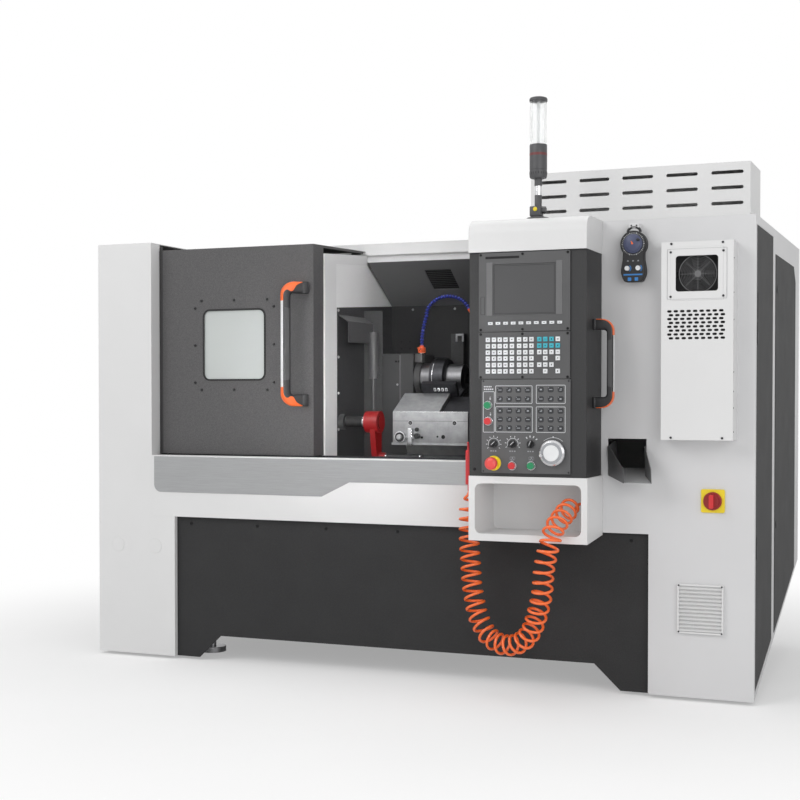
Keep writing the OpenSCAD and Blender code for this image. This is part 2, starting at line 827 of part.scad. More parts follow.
// Air conditioner of the cabinet: fan window, rows of oblong holes, and the fan's bearer
module heat_exchanger() {
    frame_w = 175;
    frame_h = 179;
    hole_rows = 8;
    hole_columns = 9;
    oblong = [15, 8];
    pitch = [21.7, 13];
    hole_field = [cooler[0] + 26, cooler[1] + 340];
    bearer_y = -40;
    color(white_paint) place() {
        difference() {
            union() {
                block([cooler[0], -cooler_d, cooler[1]], [cooler[0] + cooler_w, 0, cooler[1] + cooler_h]);
                wall_xz(-cooler_d - 1, 1 + over)
                    translate([fan_at[0] - frame_w / 2, fan_at[1] - frame_h / 2]) square([frame_w, frame_h]);
            }
            block([cooler[0] + cooler_t, cooler_t - cooler_d, cooler[1] + cooler_t],
                [cooler[0] + cooler_w - cooler_t, over, cooler[1] + cooler_h - cooler_t]);
            wall_xz(-cooler_d - 2, cooler_t + 4) {
                rounded([fan_at[0] - fan_w / 2, fan_at[1] - fan_h / 2], [fan_w, fan_h], 10);
                for (r = [0 : hole_rows - 1], c = [0 : hole_columns - 1])
                    slot([hole_field[0] + (c - (r % 2) / 4) * pitch[0], hole_field[1] + r * pitch[1]],
                        oblong[0], oblong[1]);
            }
        }
        difference() {
            union() {
                block([cooler[0], bearer_y, fan_at[1] - 10],
                    [cooler[0] + cooler_w, bearer_y + 8, fan_at[1] + 10]);
                rod_y(fan_at[0], bearer_y, bearer_y + 14, fan_at[1], 44);
            }
            rod_y(fan_at[0], bearer_y - over, bearer_y + 15, fan_at[1], fan_shaft + 2 * run_fit);
        }
    }
}

module exchanger_fan() {
    blades = 7;
    hub_d2 = 44;
    hub_w = 24;
    rear = -40 - slide_fit;
    color(black_paint) place() {
        rod_y(fan_at[0], rear - hub_w, rear, fan_at[1], hub_d2);
        rod_y(fan_at[0], rear - over, rear + 13, fan_at[1], fan_shaft);
        for (i = [0 : blades - 1])
            translate([fan_at[0], rear - hub_w / 2, fan_at[1]]) rotate([0, i * 360 / blades, 0])
                translate([hub_d2 / 2 - 4, 0, 0]) rotate([35, 0, 0])
                    translate([0, -1, -13]) cube([(fan_d - hub_d2) / 2 + 4, 2, 26]);
    }
}

// Plate and collar of the main switch
module switch_plate() {
    color(yellow) place() difference() {
        union() {
            wall_xz(-6, 6) rounded([switch_at[0] - switch_w / 2, switch_at[1] - switch_w / 2],
                [switch_w, switch_w], 6);
            rod_y(switch_at[0], -16, -5, switch_at[1], 62);
        }
        rod_y(switch_at[0], -17, -3, switch_at[1], 12 + 2 * run_fit);
    }
}

module main_switch_knob() {
    front = -16 - slide_fit;
    grip = [15, 46];
    color(red) place() {
        rod_y(switch_at[0], front - 8, front, switch_at[1], 46);
        wall_xz(front - 28, 21) rounded([switch_at[0] - grip[0] / 2, switch_at[1] - grip[1] / 2], grip, 5);
        rod_y(switch_at[0], front - over, -4, switch_at[1], 12);
    }
}

// Filter grille with tilted louvres
module vent_grille() {
    rim = 6;
    pitch = (grille_h - 2 * rim) / louvres;
    tilt = 40;
    color(white_paint) place() {
        difference() {
            block([grille[0], -grille_d, grille[1]], [grille[0] + grille_w, 0, grille[1] + grille_h]);
            block([grille[0] + rim, -grille_d - over, grille[1] + rim],
                [grille[0] + grille_w - rim, -3, grille[1] + grille_h - rim]);
        }
        for (i = [0 : louvres - 1])
            translate([grille[0] + rim - over, -grille_d + 1, grille[1] + rim + i * pitch + 1])
                rotate([tilt, 0, 0]) cube([grille_w - 2 * rim + 2 * over, 11, 2]);
    }
}

// Hand pendant with its hook on the wall
module pendant_body() {
    head_d = 92;
    body = [66, 131];
    foot_z = pendant[1] - 128;
    front = pendant_y - pendant_d;
    hook = [40, 26];
    color(black_paint) place() {
        difference() {
            wall_xz(front, pendant_d) {
                translate(pendant) circle(d = head_d);
                rounded([pendant[0] - body[0] / 2, foot_z], body, 12);
                rounded([pendant[0] - body[0] / 2 - 6, pendant[1] - 66], [body[0] + 12, 54], 12);
            }
            rod_y(pendant[0], front - over, front + 12, pendant[1], 8 + 2 * run_fit);
            for (at = pendant_knob_at) rod_y(at[0], front - over, front + 12, at[1], 6 + 2 * run_fit);
        }
        block([pendant[0] - hook[0] / 2, pendant_y, pendant[1] - 30],
            [pendant[0] + hook[0] / 2, 0, pendant[1] + 46 + hook[1]]);
        block([pendant[0] - hook[0] / 2, pendant_y - 22, pendant[1] + 46],
            [pendant[0] + hook[0] / 2, pendant_y, pendant[1] + 46 + hook[1]]);
    }
}

module pendant_wheel() {
    front = pendant_y - pendant_d - slide_fit;
    color([0.3, 0.32, 0.44]) place() {
        translate([pendant[0], front, pendant[1]]) rotate([90, 0, 0]) rotate_extrude()
            polygon([[0, 0], [pendant_wheel_d / 2, 0], [pendant_wheel_d / 2, 5],
                [pendant_wheel_d / 2 - 8, 7], [pendant_wheel_d / 2 - 12, 12], [0, 14]]);
        rod_y(pendant[0] + 20, front - 20, front - 9, pendant[1] + 12, 10);
        rod_y(pendant[0], front - over, front + 11, pendant[1], 8);
    }
}

// Small knob on the pendant
module pendant_knob(at) {
    front = pendant_y - pendant_d - slide_fit;
    color(black_paint) place() {
        rod_y(at[0], front - 12, front, at[1], 16);
        rod_y(at[0], front - over, front + 11, at[1], 6);
        block([at[0] - 1.5, front - 13, at[1]], [at[0] + 1.5, front - 6, at[1] + 8]);
    }
}
module pendant_axis_knob() pendant_knob(pendant_knob_at[0]);
module pendant_step_knob() pendant_knob(pendant_knob_at[1]);

// Sliding door: a folded box with a deep top that closes the roof too
module door_panel() {
    shoe_w = 40;
    edge_h = 10;
    module side(depth) {
        polygon([[door_back, door_z], [door_back + depth, door_z],
            [door_back + depth, door_top(door_back + depth) - sheet / 2],
            [door_back, door_top_z - sheet / 2]]);
    }
    color(grey_paint) place() difference() {
        union() {
            block([door_l, door_back, door_z], [door_r, door_back + sheet, door_top_z - over]);
            wall_yz(door_l, sheet) side(40);
            wall_yz(door_r - sheet, sheet) side(door_d);
            block([door_l, door_back, door_z], [door_r, guide_y + guide_t, door_z + sheet]);
            wall_yz(door_l, door_w) polygon([[door_back, door_top_z - sheet],
                [door_rear, door_top(door_rear) - sheet], [door_rear, door_top(door_rear)],
                [door_back, door_top_z]]);
            wall_yz(door_r - sheet, sheet) polygon([
                [door_back + door_d - over, door_top(door_back + door_d) - edge_h],
                [door_rear - 24, door_top(door_rear - 24) - edge_h],
                [door_rear - 24, door_top(door_rear - 24) - over],
                [door_back + door_d - over, door_top(door_back + door_d) - over]]);
            for (x = [door_l + 20, door_r - 20 - shoe_w])
                block([x, door_rear - 11, rail_z + rail_h + slide_fit],
                    [x + shoe_w, door_rear - over, door_top(door_rear - 11) - over]);
        }
        wall_xz(door_back - over, sheet + 2 * over)
            rounded([window_x, window_z], [window_w, window_h], window_r);
    }
}

module door_window() {
    pane_t = 6;
    color([0.8, 0.85, 0.85, 0.6]) place() wall_xz(door_back + sheet, pane_t)
        rounded([window_x - window_lap, window_z - window_lap],
            [window_w + 2 * window_lap, window_h + 2 * window_lap], window_r);
}

module door_handle() {
    turn = 225;
    inset = 40;
    color(black_paint) place() difference() {
        translate([handle_x, door_back, handle_z]) rotate([0, 0, turn]) bow(handle_len, handle_reach, inset);
        block([handle_x - far / 2, door_back, 0], [handle_x + far / 2, far, far]);
    }
}

module spindle() {
    nose_d = 125;
    bore_d = 46;
    color(steel) place() difference() {
        union() {
            rod_x(head_l + 20, nose_x + slide_fit + over, spindle_y, spindle_z, spindle_d);
            rod_x(nose_x + slide_fit, nose_x + nose_w, spindle_y, spindle_z, nose_d);
        }
        rod_x(head_l, nose_x + nose_w + over, spindle_y, spindle_z, bore_d);
    }
}

module collet_chuck() {
    edge = 8;
    bore_r = bar_d / 2;
    color(iron) place() translate([nose_x + nose_w, spindle_y, spindle_z]) rotate([0, 90, 0])
        rotate_extrude() polygon([[bore_r, 0], [chuck_d / 2 - 2, 0], [chuck_d / 2, 2],
            [chuck_d / 2, chuck_w - edge], [chuck_d / 2 - edge, chuck_w], [collet_d / 2, chuck_w],
            [collet_d / 2, chuck_w + collet_w - edge], [collet_d / 2 - 2 * edge, chuck_w + collet_w],
            [bore_r, chuck_w + collet_w]]);
}

// Carriage on the box ways
module saddle() {
    color(iron) place() slanted() difference() {
        block([saddle_l, saddle_u[0], saddle_v[0]], [saddle_l + saddle_w, saddle_u[1], saddle_v[1]]);
        for (u = way_u)
            block([saddle_l - over, u - slide_fit, saddle_v[0] - over],
                [saddle_l + saddle_w + over, u + way_w + slide_fit, bed_v + way_h + slide_fit]);
    }
}

// Tool slide with its wedge-shaped head
module cross_slide() {
    margin = 5;
    seat = 0.02;
    foot = on_slope(slide_u[0], slide_top + seat);
    ledge = 9;
    sunk = 16;
    knob_at = [tool_l + 34, tool_low + 31];
    color(steel) place() slanted() block([saddle_l + margin, slide_u[0], slide_v],
        [saddle_l + saddle_w - margin, slide_u[1], slide_top]);
    color(steel) place() difference() {
        union() {
            wall_yz(tool_l, head_w) polygon([[tool_f, tool_low], [tool_f, slope_z(tool_f, tool_v)],
                on_slope(tool_u, tool_v), on_slope(tool_u, slide_top + seat),
                foot, [foot[0], tool_low]]);
            block([tool_l - 4, tool_f - 4, tool_low], [tool_l + head_w, tool_f + over, tool_low + ledge]);
            rod_y(knob_at[0], tool_f - 12, tool_f + over, knob_at[1], 34);
            rod_y(knob_at[0], tool_f - 22, tool_f - 11, knob_at[1], 20);
            block([knob_at[0] + 38, tool_f - 22, knob_at[1] - 30],
                [knob_at[0] + 54, tool_f + over, knob_at[1] + 34]);
        }
        slanted() block([tool_l + tool_plate_w, -far, tool_v - sunk],
            [tool_l + head_w + over, tool_u + over, far]);
    }
}

module tool_holder() {
    shank = 16;
    shank_x = nose_x + nose_w + chuck_w + collet_w + 3;
    shank_out = 62;
    holder_l = tool_l + 78;
    holder_w = shank_x + shank - holder_l;
    holder_t = 20;
    holder_up = 44;
    color(black_paint) place() slanted() {
        block([holder_l, tool_u, slide_top], [holder_l + holder_w, tool_u + holder_t, tool_v + holder_up]);
        block([shank_x, tool_u + holder_t - over, -shank / 2],
            [shank_x + shank, tool_u + holder_t + shank_out, shank / 2]);
    }
}

// Swing arm of the parts catcher with its shaft
module catcher_arm() {
    arm_t = 22;
    arm_x = hub_l + 24;
    low = hub_z - 152;
    foot = [hub_y - 8, hub_y + 36];
    boss_d = 30;
    boss_w = 26;
    rod_d = 16;
    rod_len = 160;
    rod_at = [hub_y + 16, hub_z - 137];
    color(red) place() {
        rod_x(hub_l, hub_r, hub_y, hub_z, hub_d);
        rod_x(jamb_x + slide_fit, hub_l + over, hub_y, hub_z, hub_shaft_d);
        wall_yz(arm_x, arm_t) polygon([[hub_y - 38, hub_z], [hub_y + 38, hub_z],
            [foot[1], low], [foot[0], low]]);
        rod_x(arm_x + over, arm_x + arm_t + boss_w, rod_at[0], rod_at[1], boss_d);
        rod_x(arm_x + arm_t + boss_w - over, arm_x + arm_t + boss_w + rod_len, rod_at[0], rod_at[1], rod_d);
    }
}

// Operator panel's box with its hinge knuckles and pins
module panel_box() {
    knuckle_h = 20;
    hole_slack = 1;
    color(black_paint) place() difference() {
        union() {
            difference() {
                block([panel_l, box_f, panel_z], [panel_r, -panel_gap, panel_top]);
                block([panel_l + sheet, box_f + sheet, panel_z + sheet],
                    [panel_r - sheet, -panel_gap - sheet, panel_top - sheet]);
            }
            for (z = hinge_zs) {
                rod_z(hinge_x, hinge_y, z + lug_h + slide_fit, z + lug_h + knuckle_h, 2 * hinge_r);
                block([hinge_x, hinge_y - 5, z + lug_h + slide_fit],
                    [panel_l + over, hinge_y + 5, z + lug_h + knuckle_h]);
                rod_z(hinge_x, hinge_y, z, z + lug_h + knuckle_h, hinge_pin);
            }
        }
        for (at = stems) rod_y(at[0], box_f - over, box_f + sheet + over, at[1], stem_d + 2 * hole_slack);
    }
}

// Rounded cap over the operator panel
module panel_cap() {
    lap = 2;
    module section(inset) {
        y0 = panel_f - lap + inset;
        z1 = cap_top - inset;
        r = cap_r - inset;
        translate([y0 + r, panel_top]) square([-panel_gap - inset - y0 - r, z1 - panel_top]);
        translate([y0, panel_top]) square([-panel_gap - inset - y0, z1 - r - panel_top]);
        translate([y0 + r, z1 - r]) circle(r);
    }
    color(white_paint) place() difference() {
        wall_yz(panel_l - lap, panel_w + 2 * lap) section(0);
        translate([0, 0, -over])
            wall_yz(panel_l - lap + sheet, panel_w + 2 * lap - 2 * sheet) section(sheet);
    }
}

// Open tray under the operator panel with the air outlet on its right wall
module panel_tray() {
    wall = 22;
    back_t = 5;
    outlet_d = 18;
    pocket = [panel_w - 38, tray_h - 50];
    color(white_paint) place() {
        difference() {
            wall_yz(panel_l - 1, panel_w + 7) polygon([[panel_f, tray_z], [-panel_gap, tray_z + tray_rise],
                [-panel_gap, panel_z], [panel_f, panel_z]]);
            wall_xz(panel_f - over, panel_d - back_t + over)
                rounded([panel_l + wall, tray_z + tray_wall + 2], pocket, tray_r);
        }
        rod_x(coil_route[0][0], panel_l + wall + pocket[0] + over,
            coil_route[0][1], coil_route[0][2], outlet_d);
    }
}

// Display with its soft keys, and the keypad below it
module control_unit() {
    bezel_h = panel_top - 3 - unit_split;
    screen_at = [51, 58];
    screen = [225, bezel_h - screen_at[1] - 40];
    key = 15;
    key_h = 2;
    columns = [34, 56, 77, 98, 121, 147, 169, 191, 219, 240, 262, 284];
    rows = [135, 113, 91, 70, 48, 26];
    bare = [[8, 3], [10, 3], [11, 4], [8, 5], [10, 5]];
    color(grey_paint) place() {
        difference() {
            wall_xz(panel_f, plate_t) rounded([unit_l, unit_split + 1], [unit_w, bezel_h - 1], 4);
            wall_xz(panel_f - over, over + 3)
                rounded([unit_l + screen_at[0], unit_split + screen_at[1]], screen, 3);
        }
        wall_xz(panel_f, plate_t) rounded([unit_l, unit_z], [unit_w, unit_split - unit_z - 1], 4);
        for (i = [0 : 9])
            translate([unit_l + 35 + i * 27.5, panel_f - key_h, unit_split + 25])
                cube([16, key_h + over, 9]);
        for (i = [0 : len(columns) - 1], k = [0 : len(rows) - 1]) 
            if (len([for (b = bare) if (b == [i, k]) b]) == 0)
                translate([unit_l + columns[i] - key / 2, panel_f - key_h, unit_z + rows[k] - key / 2])
                    cube([key, key_h + over, key]);
    }
}

module control_plate() {
    ring_h = 3;
    ring_d = 50;
    color(grey_paint) place() difference() {
        union() {
            wall_xz(panel_f, plate_t) rounded([plate_l, plate_z], [plate_w, plate_h], 4);
            rod_y(estop_at[0], panel_f - ring_h, panel_f + over, estop_at[1], ring_d);
        }
        for (at = stems)
            rod_y(at[0], panel_f - ring_h - over, panel_f + plate_t + over, at[1], stem_d + 2 * run_fit);
    }
}

// Push button with its stem
module push_button(at, tint) {
    cap_len = 12;
    rear = panel_f - button_travel - slide_fit;
    color(tint) place() {
        rod_y(at[0], rear - cap_len, rear, at[1], button_d);
        rod_y(at[0], rear - over, box_f + 14, at[1], stem_d);
    }
}
module start_button() push_button(start_at, green);
module stop_button() push_button(stop_at, red);
module power_off_button() push_button(power_off_at, red);
module power_on_button() push_button(power_on_at, green);

module estop_button() {
    head_d = 44;
    neck_d = 26;
    rear = -3 - button_travel - slide_fit;
    color(red) place() {
        translate([estop_at[0], panel_f, estop_at[1]]) rotate([90, 0, 0]) rotate_extrude()
            polygon([[0, -rear], [neck_d / 2, -rear], [neck_d / 2, 22], [head_d / 2 - 3, 24],
                [head_d / 2, 28], [head_d / 2, 36], [head_d / 2 - 3, 41], [head_d / 4, estop_out],
                [0, estop_out]]);
        rod_y(estop_at[0], panel_f + rear - over, box_f + 14, estop_at[1], stem_d);
    }
}

// Selector knob with a raised grip
module selector(at, turn) {
    base_d = 27;
    base_w = 6;
    grip = [9, 27];
    grip_h = 14;
    rear = panel_f - slide_fit;
    color(black_paint) place() {
        rod_y(at[0], rear - base_w, rear, at[1], base_d);
        wall_xz(rear - base_w - grip_h, grip_h + over)
            translate(at) rotate(turn) rounded(-grip / 2, grip, 3);
        rod_y(at[0], rear - over, box_f + 14, at[1], stem_d);
    }
}
module left_selector() selector(selector_at[0], -48);
module middle_selector() selector(selector_at[1], -48);
module right_selector() selector(selector_at[2], -22);

module handwheel() {
    rear = panel_f - slide_fit;
    crank_r = 33;
    color(steel) place() {
        translate([wheel_at[0], rear, wheel_at[1]]) rotate([90, 0, 0]) rotate_extrude()
            polygon([[0, 0], [wheel_d / 2 - 8, 0], [wheel_d / 2 - 8, 4], [wheel_d / 2, 6],
                [wheel_d / 2, 18], [wheel_d / 2 - 5, 22], [wheel_d / 2 - 14, 24], [0, 26]]);
        rod_y(wheel_at[0] - crank_r, rear - 40, rear - 20, wheel_at[1] - 8, 11);
        rod_y(wheel_at[0], rear - over, box_f + 14, wheel_at[1], stem_d);
    }
}

module panel_handle() {
    color(black_paint) place() translate([panel_r, grip_y, grip_z]) bow(grip_len, grip_reach, 0);
}

// Signal lamp on a foot with a folding knuckle
module signal_lamp() {
    foot = [83, 10];
    pole_d = 24;
    body_d = 65;
    lens_d = 61;
    body_z = 148;
    lens_z = 255;
    cap_z = lamp_h - 14;
    color(black_paint) place() translate([lamp_x, lamp_y, cap_top]) {
        rotate_extrude() polygon([[0, 0], [foot[0] / 2, 0], [foot[0] / 2, foot[1] - 2],
            [foot[0] / 2 - 2, foot[1]], [pole_d / 2, foot[1]], [pole_d / 2, body_z],
            [body_d / 2 - 4, body_z], [body_d / 2, body_z + 4], [body_d / 2, lens_z],
            [lens_d / 2, lens_z], [lens_d / 2, cap_z],
            [body_d / 2, cap_z], [body_d / 2, lamp_h - 4], [body_d / 2 - 4, lamp_h], [0, lamp_h]]);
        translate([-22, -16, foot[1] - over]) cube([44, 32, 52]);
        rod_y(0, -24, 0, 40, 22);
    }
}

// Coiled air line as a tube of its outer diameter
module air_hose() {
    color(orange) place()
        skin([for (i = [0 : len(coil_route) - 1])
            ring(coil_route[i], heading(coil_route, i), coil_d / 2, coil_sides)]);
}

// Air gun hanging on the panel's left side
module air_gun() {
    end = coil_route[len(coil_route) - 1];
    body_z = end[2] + 22;
    body_len = 122;
    body_d = 27;
    color(red) place() {
        rod_z(end[0], end[1], end[2], body_z + over, 12);
        rod_z(end[0], end[1], body_z, body_z + body_len, body_d);
        translate([end[0], end[1], body_z + body_len - 8]) rotate([20, 0, 0])
            cylinder(h = 40, d1 = 16, d2 = 7);
        block([end[0] - 5, end[1] + 14, body_z + 24], [end[0] + 5, end[1] + 22, body_z + body_len - 12]);
        block([end[0] - 5, end[1] + 8, body_z + body_len - 22],
            [end[0] + 5, end[1] + 20, body_z + body_len - 12]);
        block([end[0] + 8, end[1] - 8, body_z + body_len - 40],
            [panel_l, end[1] + 8, body_z + body_len - 16]);
    }
}

bed_casting();
levelling_feet();
headstock();
electrics_plate();
left_front_cover();
left_side_cover();
front_beam();
sill_plate();
lower_panel();
right_wall();
side_frame();
side_rear_cover();
roof_cover();
rear_cover();
vent_box();
door_rails();
jamb_cover();
inner_side_wall();
ceiling_panel();
splash_guard();
spindle_hood();
coolant_hose();
part_chute();
heat_exchanger();
switch_plate();
vent_grille();
pendant_body();
door_panel();
door_window();
door_handle();
spindle();
collet_chuck();
saddle();
cross_slide();
tool_holder();
catcher_arm();
panel_box();
panel_cap();
panel_tray();
control_unit();
control_plate();
panel_handle();
signal_lamp();
air_hose();
air_gun();
estop_button();
start_button();
stop_button();
power_off_button();
power_on_button();
left_selector();
middle_selector();
right_selector();
handwheel();
main_switch_knob();
cabinet_door();
exchanger_fan();
pendant_wheel();
pendant_axis_knob();
pendant_step_knob();
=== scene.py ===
"""Looks of a slant-bed turning lathe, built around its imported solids."""

from math import atan, copysign, cos, hypot, pi, radians, sin, tau

import bmesh
import bpy
from mathutils import Matrix, Vector


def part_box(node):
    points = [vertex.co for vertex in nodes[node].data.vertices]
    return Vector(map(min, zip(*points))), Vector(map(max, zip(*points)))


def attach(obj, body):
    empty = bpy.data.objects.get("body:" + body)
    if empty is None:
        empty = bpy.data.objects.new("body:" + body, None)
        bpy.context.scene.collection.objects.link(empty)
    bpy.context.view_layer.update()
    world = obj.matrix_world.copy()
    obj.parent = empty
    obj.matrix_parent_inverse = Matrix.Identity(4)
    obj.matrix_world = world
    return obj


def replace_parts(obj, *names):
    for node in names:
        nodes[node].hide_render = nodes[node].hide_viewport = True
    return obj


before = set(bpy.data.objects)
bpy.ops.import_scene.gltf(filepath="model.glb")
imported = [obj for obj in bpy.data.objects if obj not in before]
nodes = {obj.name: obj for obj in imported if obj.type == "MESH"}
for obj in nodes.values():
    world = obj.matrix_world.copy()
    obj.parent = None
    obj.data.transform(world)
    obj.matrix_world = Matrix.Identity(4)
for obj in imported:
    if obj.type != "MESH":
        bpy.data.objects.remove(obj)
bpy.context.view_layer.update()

# The machine's own frame: millimetres from its front left lower corner, as the solids were drawn.
# The lower panel stands back from the front by KICK_BACK.
MM = 0.001
KICK_BACK = 20
CORNER = Vector((
    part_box("left_side_cover")[0].x,
    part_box("lower_panel")[0].y - KICK_BACK * MM,
    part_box("lower_panel")[0].z,
))
TO_MODEL = Matrix.Translation(CORNER) @ Matrix.Diagonal((MM, MM, MM, 1))

FRONT = (0, -1, 0)
BACK = (0, 1, 0)
LEFT = (-1, 0, 0)
RIGHT = (1, 0, 0)
UP = (0, 0, 1)


def model(x, y, z):
    """Point of the machine's frame in metres of the model."""
    return TO_MODEL @ Vector((x, y, z))


def span(node):
    """Lowest and highest corner of a node in the machine's millimetres."""
    lo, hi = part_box(node)
    return (lo - CORNER) / MM, (hi - CORNER) / MM


def centre(node):
    """Middle of a node in X and Z, in the machine's millimetres."""
    lo, hi = span(node)
    return (lo.x + hi.x) / 2, (lo.z + hi.z) / 2


def turns(count, first=0.0):
    """Angles of a full circle in even steps."""
    return [tau * (k + first) / count for k in range(count)]


def polar(x, z, r, angle):
    """Point at a distance and an angle from another one."""
    return x + r * cos(angle), z + r * sin(angle)


def turned(at, angle, axis):
    """Place at a point, turned about an axis."""
    return Matrix.Translation(at) @ Matrix.Rotation(angle, 4, axis)


def add_object(name, data):
    """New object with its data, in the scene."""
    obj = bpy.data.objects.new(name, data)
    bpy.context.collection.objects.link(obj)
    return obj


# Materials

def srgb(r, g, b):
    """Colour from 0 to 255 as the screen shows it, in the shader's linear values."""
    def linear(c):
        c /= 255
        return c / 12.92 if c <= 0.04045 else ((c + 0.055) / 1.055) ** 2.4
    return (linear(r), linear(g), linear(b), 1)


class Nodes:
    """Short way to write a material's node tree."""

    def __init__(self, name):
        self.mat = bpy.data.materials.new(name)
        self.mat.use_nodes = True
        self.tree = self.mat.node_tree
        self.shader = self.tree.nodes["Principled BSDF"]

    def add(self, kind, **values):
        """New node with values for its inputs and settings."""
        node = self.tree.nodes.new(kind)
        for key, value in values.items():
            if key in node.inputs:
                node.inputs[key].default_value = value
            else:
                setattr(node, key, value)
        return node

    def link(self, a, b):
        self.tree.links.new(a, b)

    def set(self, name, value):
        """Gives one input of the shader a plain value."""
        self.shader.inputs[name].default_value = value

    def position(self, stretch=(1, 1, 1)):
        """The model's coordinates, stretched for grain that runs one way."""
        coords = self.add("ShaderNodeTexCoord")
        mapping = self.add("ShaderNodeMapping")
        mapping.inputs["Scale"].default_value = stretch
        self.link(coords.outputs["Object"], mapping.inputs["Vector"])
        return mapping.outputs["Vector"]

    def noise(self, scale, detail=3, rough=0.55, stretch=(1, 1, 1)):
        """Noise over the model."""
        node = self.add("ShaderNodeTexNoise", Scale=scale, Detail=detail, Roughness=rough)
        self.link(self.position(stretch), node.inputs["Vector"])
        return node.outputs["Fac"]

    def colour(self, fac, low, high, start=0.3, end=0.7):
        """Base colour that runs between two colours."""
        ramp = self.add("ShaderNodeValToRGB")
        ramp.color_ramp.elements[0].position = start
        ramp.color_ramp.elements[1].position = end
        ramp.color_ramp.elements[0].color = low
        ramp.color_ramp.elements[1].color = high
        self.link(fac, ramp.inputs["Fac"])
        self.link(ramp.outputs["Color"], self.shader.inputs["Base Color"])

    def rough(self, fac, low, high):
        """Roughness that runs between two values."""
        scaled = self.add("ShaderNodeMapRange", **{"To Min": low, "To Max": high})
        self.link(fac, scaled.inputs["Value"])
        self.link(scaled.outputs["Result"], self.shader.inputs["Roughness"])

    def bump(self, fac, distance, strength=1.0, edge=0.0):
        """Surface relief, with round edges of the radius edge."""
        bump = self.add("ShaderNodeBump", Distance=distance, Strength=strength)
        self.link(fac, bump.inputs["Height"])
        if edge:
            bevel = self.add("ShaderNodeBevel", Radius=edge, samples=4)
            self.link(bevel.outputs["Normal"], bump.inputs["Normal"])
        self.link(bump.outputs["Normal"], self.shader.inputs["Normal"])


def shade(colour, factor):
    """A colour made darker or lighter."""
    return tuple(c * factor for c in colour[:3]) + (1,)


def paint(name, colour, rough=0.42, peel=260, peel_depth=0.00012, edge=0.0016, soil=0.95):
    """Powder coat: orange peel, a little soiling in large patches and rounded sheet edges."""
    m = Nodes(name)
    m.colour(m.noise(2.3, 5), shade(colour, soil), colour)
    m.rough(m.noise(7, 3), rough - 0.05, rough + 0.08)
    m.bump(m.noise(peel, 2), peel_depth, 0.6, edge)
    return m.mat


def wrinkle(name, colour, rough=0.6, scale=430, depth=0.0004, edge=0.0016):
    """Textured dark paint: crinkled skin, with painted light on its crests and painted shade in its
    hollows.
    """
    m = Nodes(name)
    crinkle = m.noise(scale, 3, 0.6)
    # The colour follows the relief: painted light on the crests, painted shade in the hollows
    m.colour(crinkle, shade(colour, 0.74), shade(colour, 1.24), 0.36, 0.66)
    m.rough(m.noise(9, 3), rough - 0.06, rough + 0.08)
    m.bump(crinkle, depth, 0.8, edge)
    return m.mat


def brushed(name, colour, rough=0.34, stretch=(3, 300, 300), edge=0.001):
    """Metal with fine lines in one direction."""
    m = Nodes(name)
    lines = m.noise(3, 4, 0.7, stretch)
    m.colour(lines, shade(colour, 0.84), shade(colour, 1.08))
    m.rough(lines, rough - 0.08, rough + 0.12)
    m.bump(lines, 0.00005, 0.5, edge)
    m.set("Metallic", 1)
    return m.mat


def machined(name, colour, rough=0.28, scale=60, metallic=1.0):
    """Ground or turned metal with faint cloudy marks."""
    m = Nodes(name)
    cloud = m.noise(scale, 5, 0.65)
    m.colour(cloud, shade(colour, 0.8), shade(colour, 1.1))
    m.rough(cloud, rough - 0.06, rough + 0.14)
    m.bump(m.noise(900, 2), 0.00004, 0.5, 0.001)
    m.set("Metallic", metallic)
    return m.mat


def plastic(name, colour, rough=0.4, grain=700, depth=0.00008, coat=0.0, edge=0.001):
    """Moulded plastic with a fine grain."""
    m = Nodes(name)
    m.colour(m.noise(11, 3), shade(colour, 0.93), shade(colour, 1.05))
    m.rough(m.noise(40, 3), rough - 0.05, rough + 0.06)
    m.bump(m.noise(grain, 2), depth, 0.6, edge)
    m.set("Coat Weight", coat)
    return m.mat


GLASS_IOR = 1.47


def glass(name, colour, rough=0.08, transmission=0.9, alpha=1.0):
    """Clear or dimmed pane with faint waves."""
    m = Nodes(name)
    m.colour(m.noise(3, 2), shade(colour, 0.96), colour)
    m.bump(m.noise(6, 1), 0.0002, 0.3)
    m.set("Roughness", rough)
    m.set("Transmission Weight", transmission)
    m.set("Alpha", alpha)
    m.set("IOR", GLASS_IOR)
    return m.mat


WHITE = paint("white_powder_coat", srgb(224, 224, 224))
WALL_WHITE = paint("wall_powder_coat", srgb(214, 214, 215))
# Lighter copies of the white paint: painted light on the door jamb and the inner side wall, which sit back
# in the opening
JAMB_PAINTED_LIGHT = paint("jamb_white_painted_light", srgb(228, 228, 228))
INNER_WALL_PAINTED_LIGHT = paint("inner_wall_white_painted_light", srgb(240, 240, 240), 0.5)
DOOR_GREY = wrinkle("door_wrinkle_paint", srgb(82, 81, 82))
# Darker copy of the door paint: painted shade where the door folds back at its left edge
DOOR_SHADE = wrinkle("painted_shade_on_door_fold", srgb(54, 53, 54))
PANEL_BLACK = wrinkle("lower_wrinkle_paint", srgb(34, 34, 35), 0.72, 360)
SIDE_BLACK = wrinkle("side_wrinkle_paint", srgb(38, 38, 39), 0.7)
GUARD_BLACK = wrinkle("guard_wrinkle_paint", srgb(62, 62, 63), 0.55)
# Darker copy of the guard paint: painted shade on the rear wall of the work area; the catcher's sleeve and
# shaft are this dark too
REAR_SHADE_AND_SLEEVE_BLACK = wrinkle("rear_black_and_painted_shade", srgb(31, 31, 32), 0.66)
HOOD_GREY = wrinkle("hood_wrinkle_paint", srgb(84, 84, 85), 0.5, 520, 0.00025)
BOX_BLACK = wrinkle("panel_wrinkle_paint", srgb(42, 42, 43), 0.55, 520, 0.00025)
CHUTE_BLACK = paint("chute_paint", srgb(88, 88, 89), 0.42)
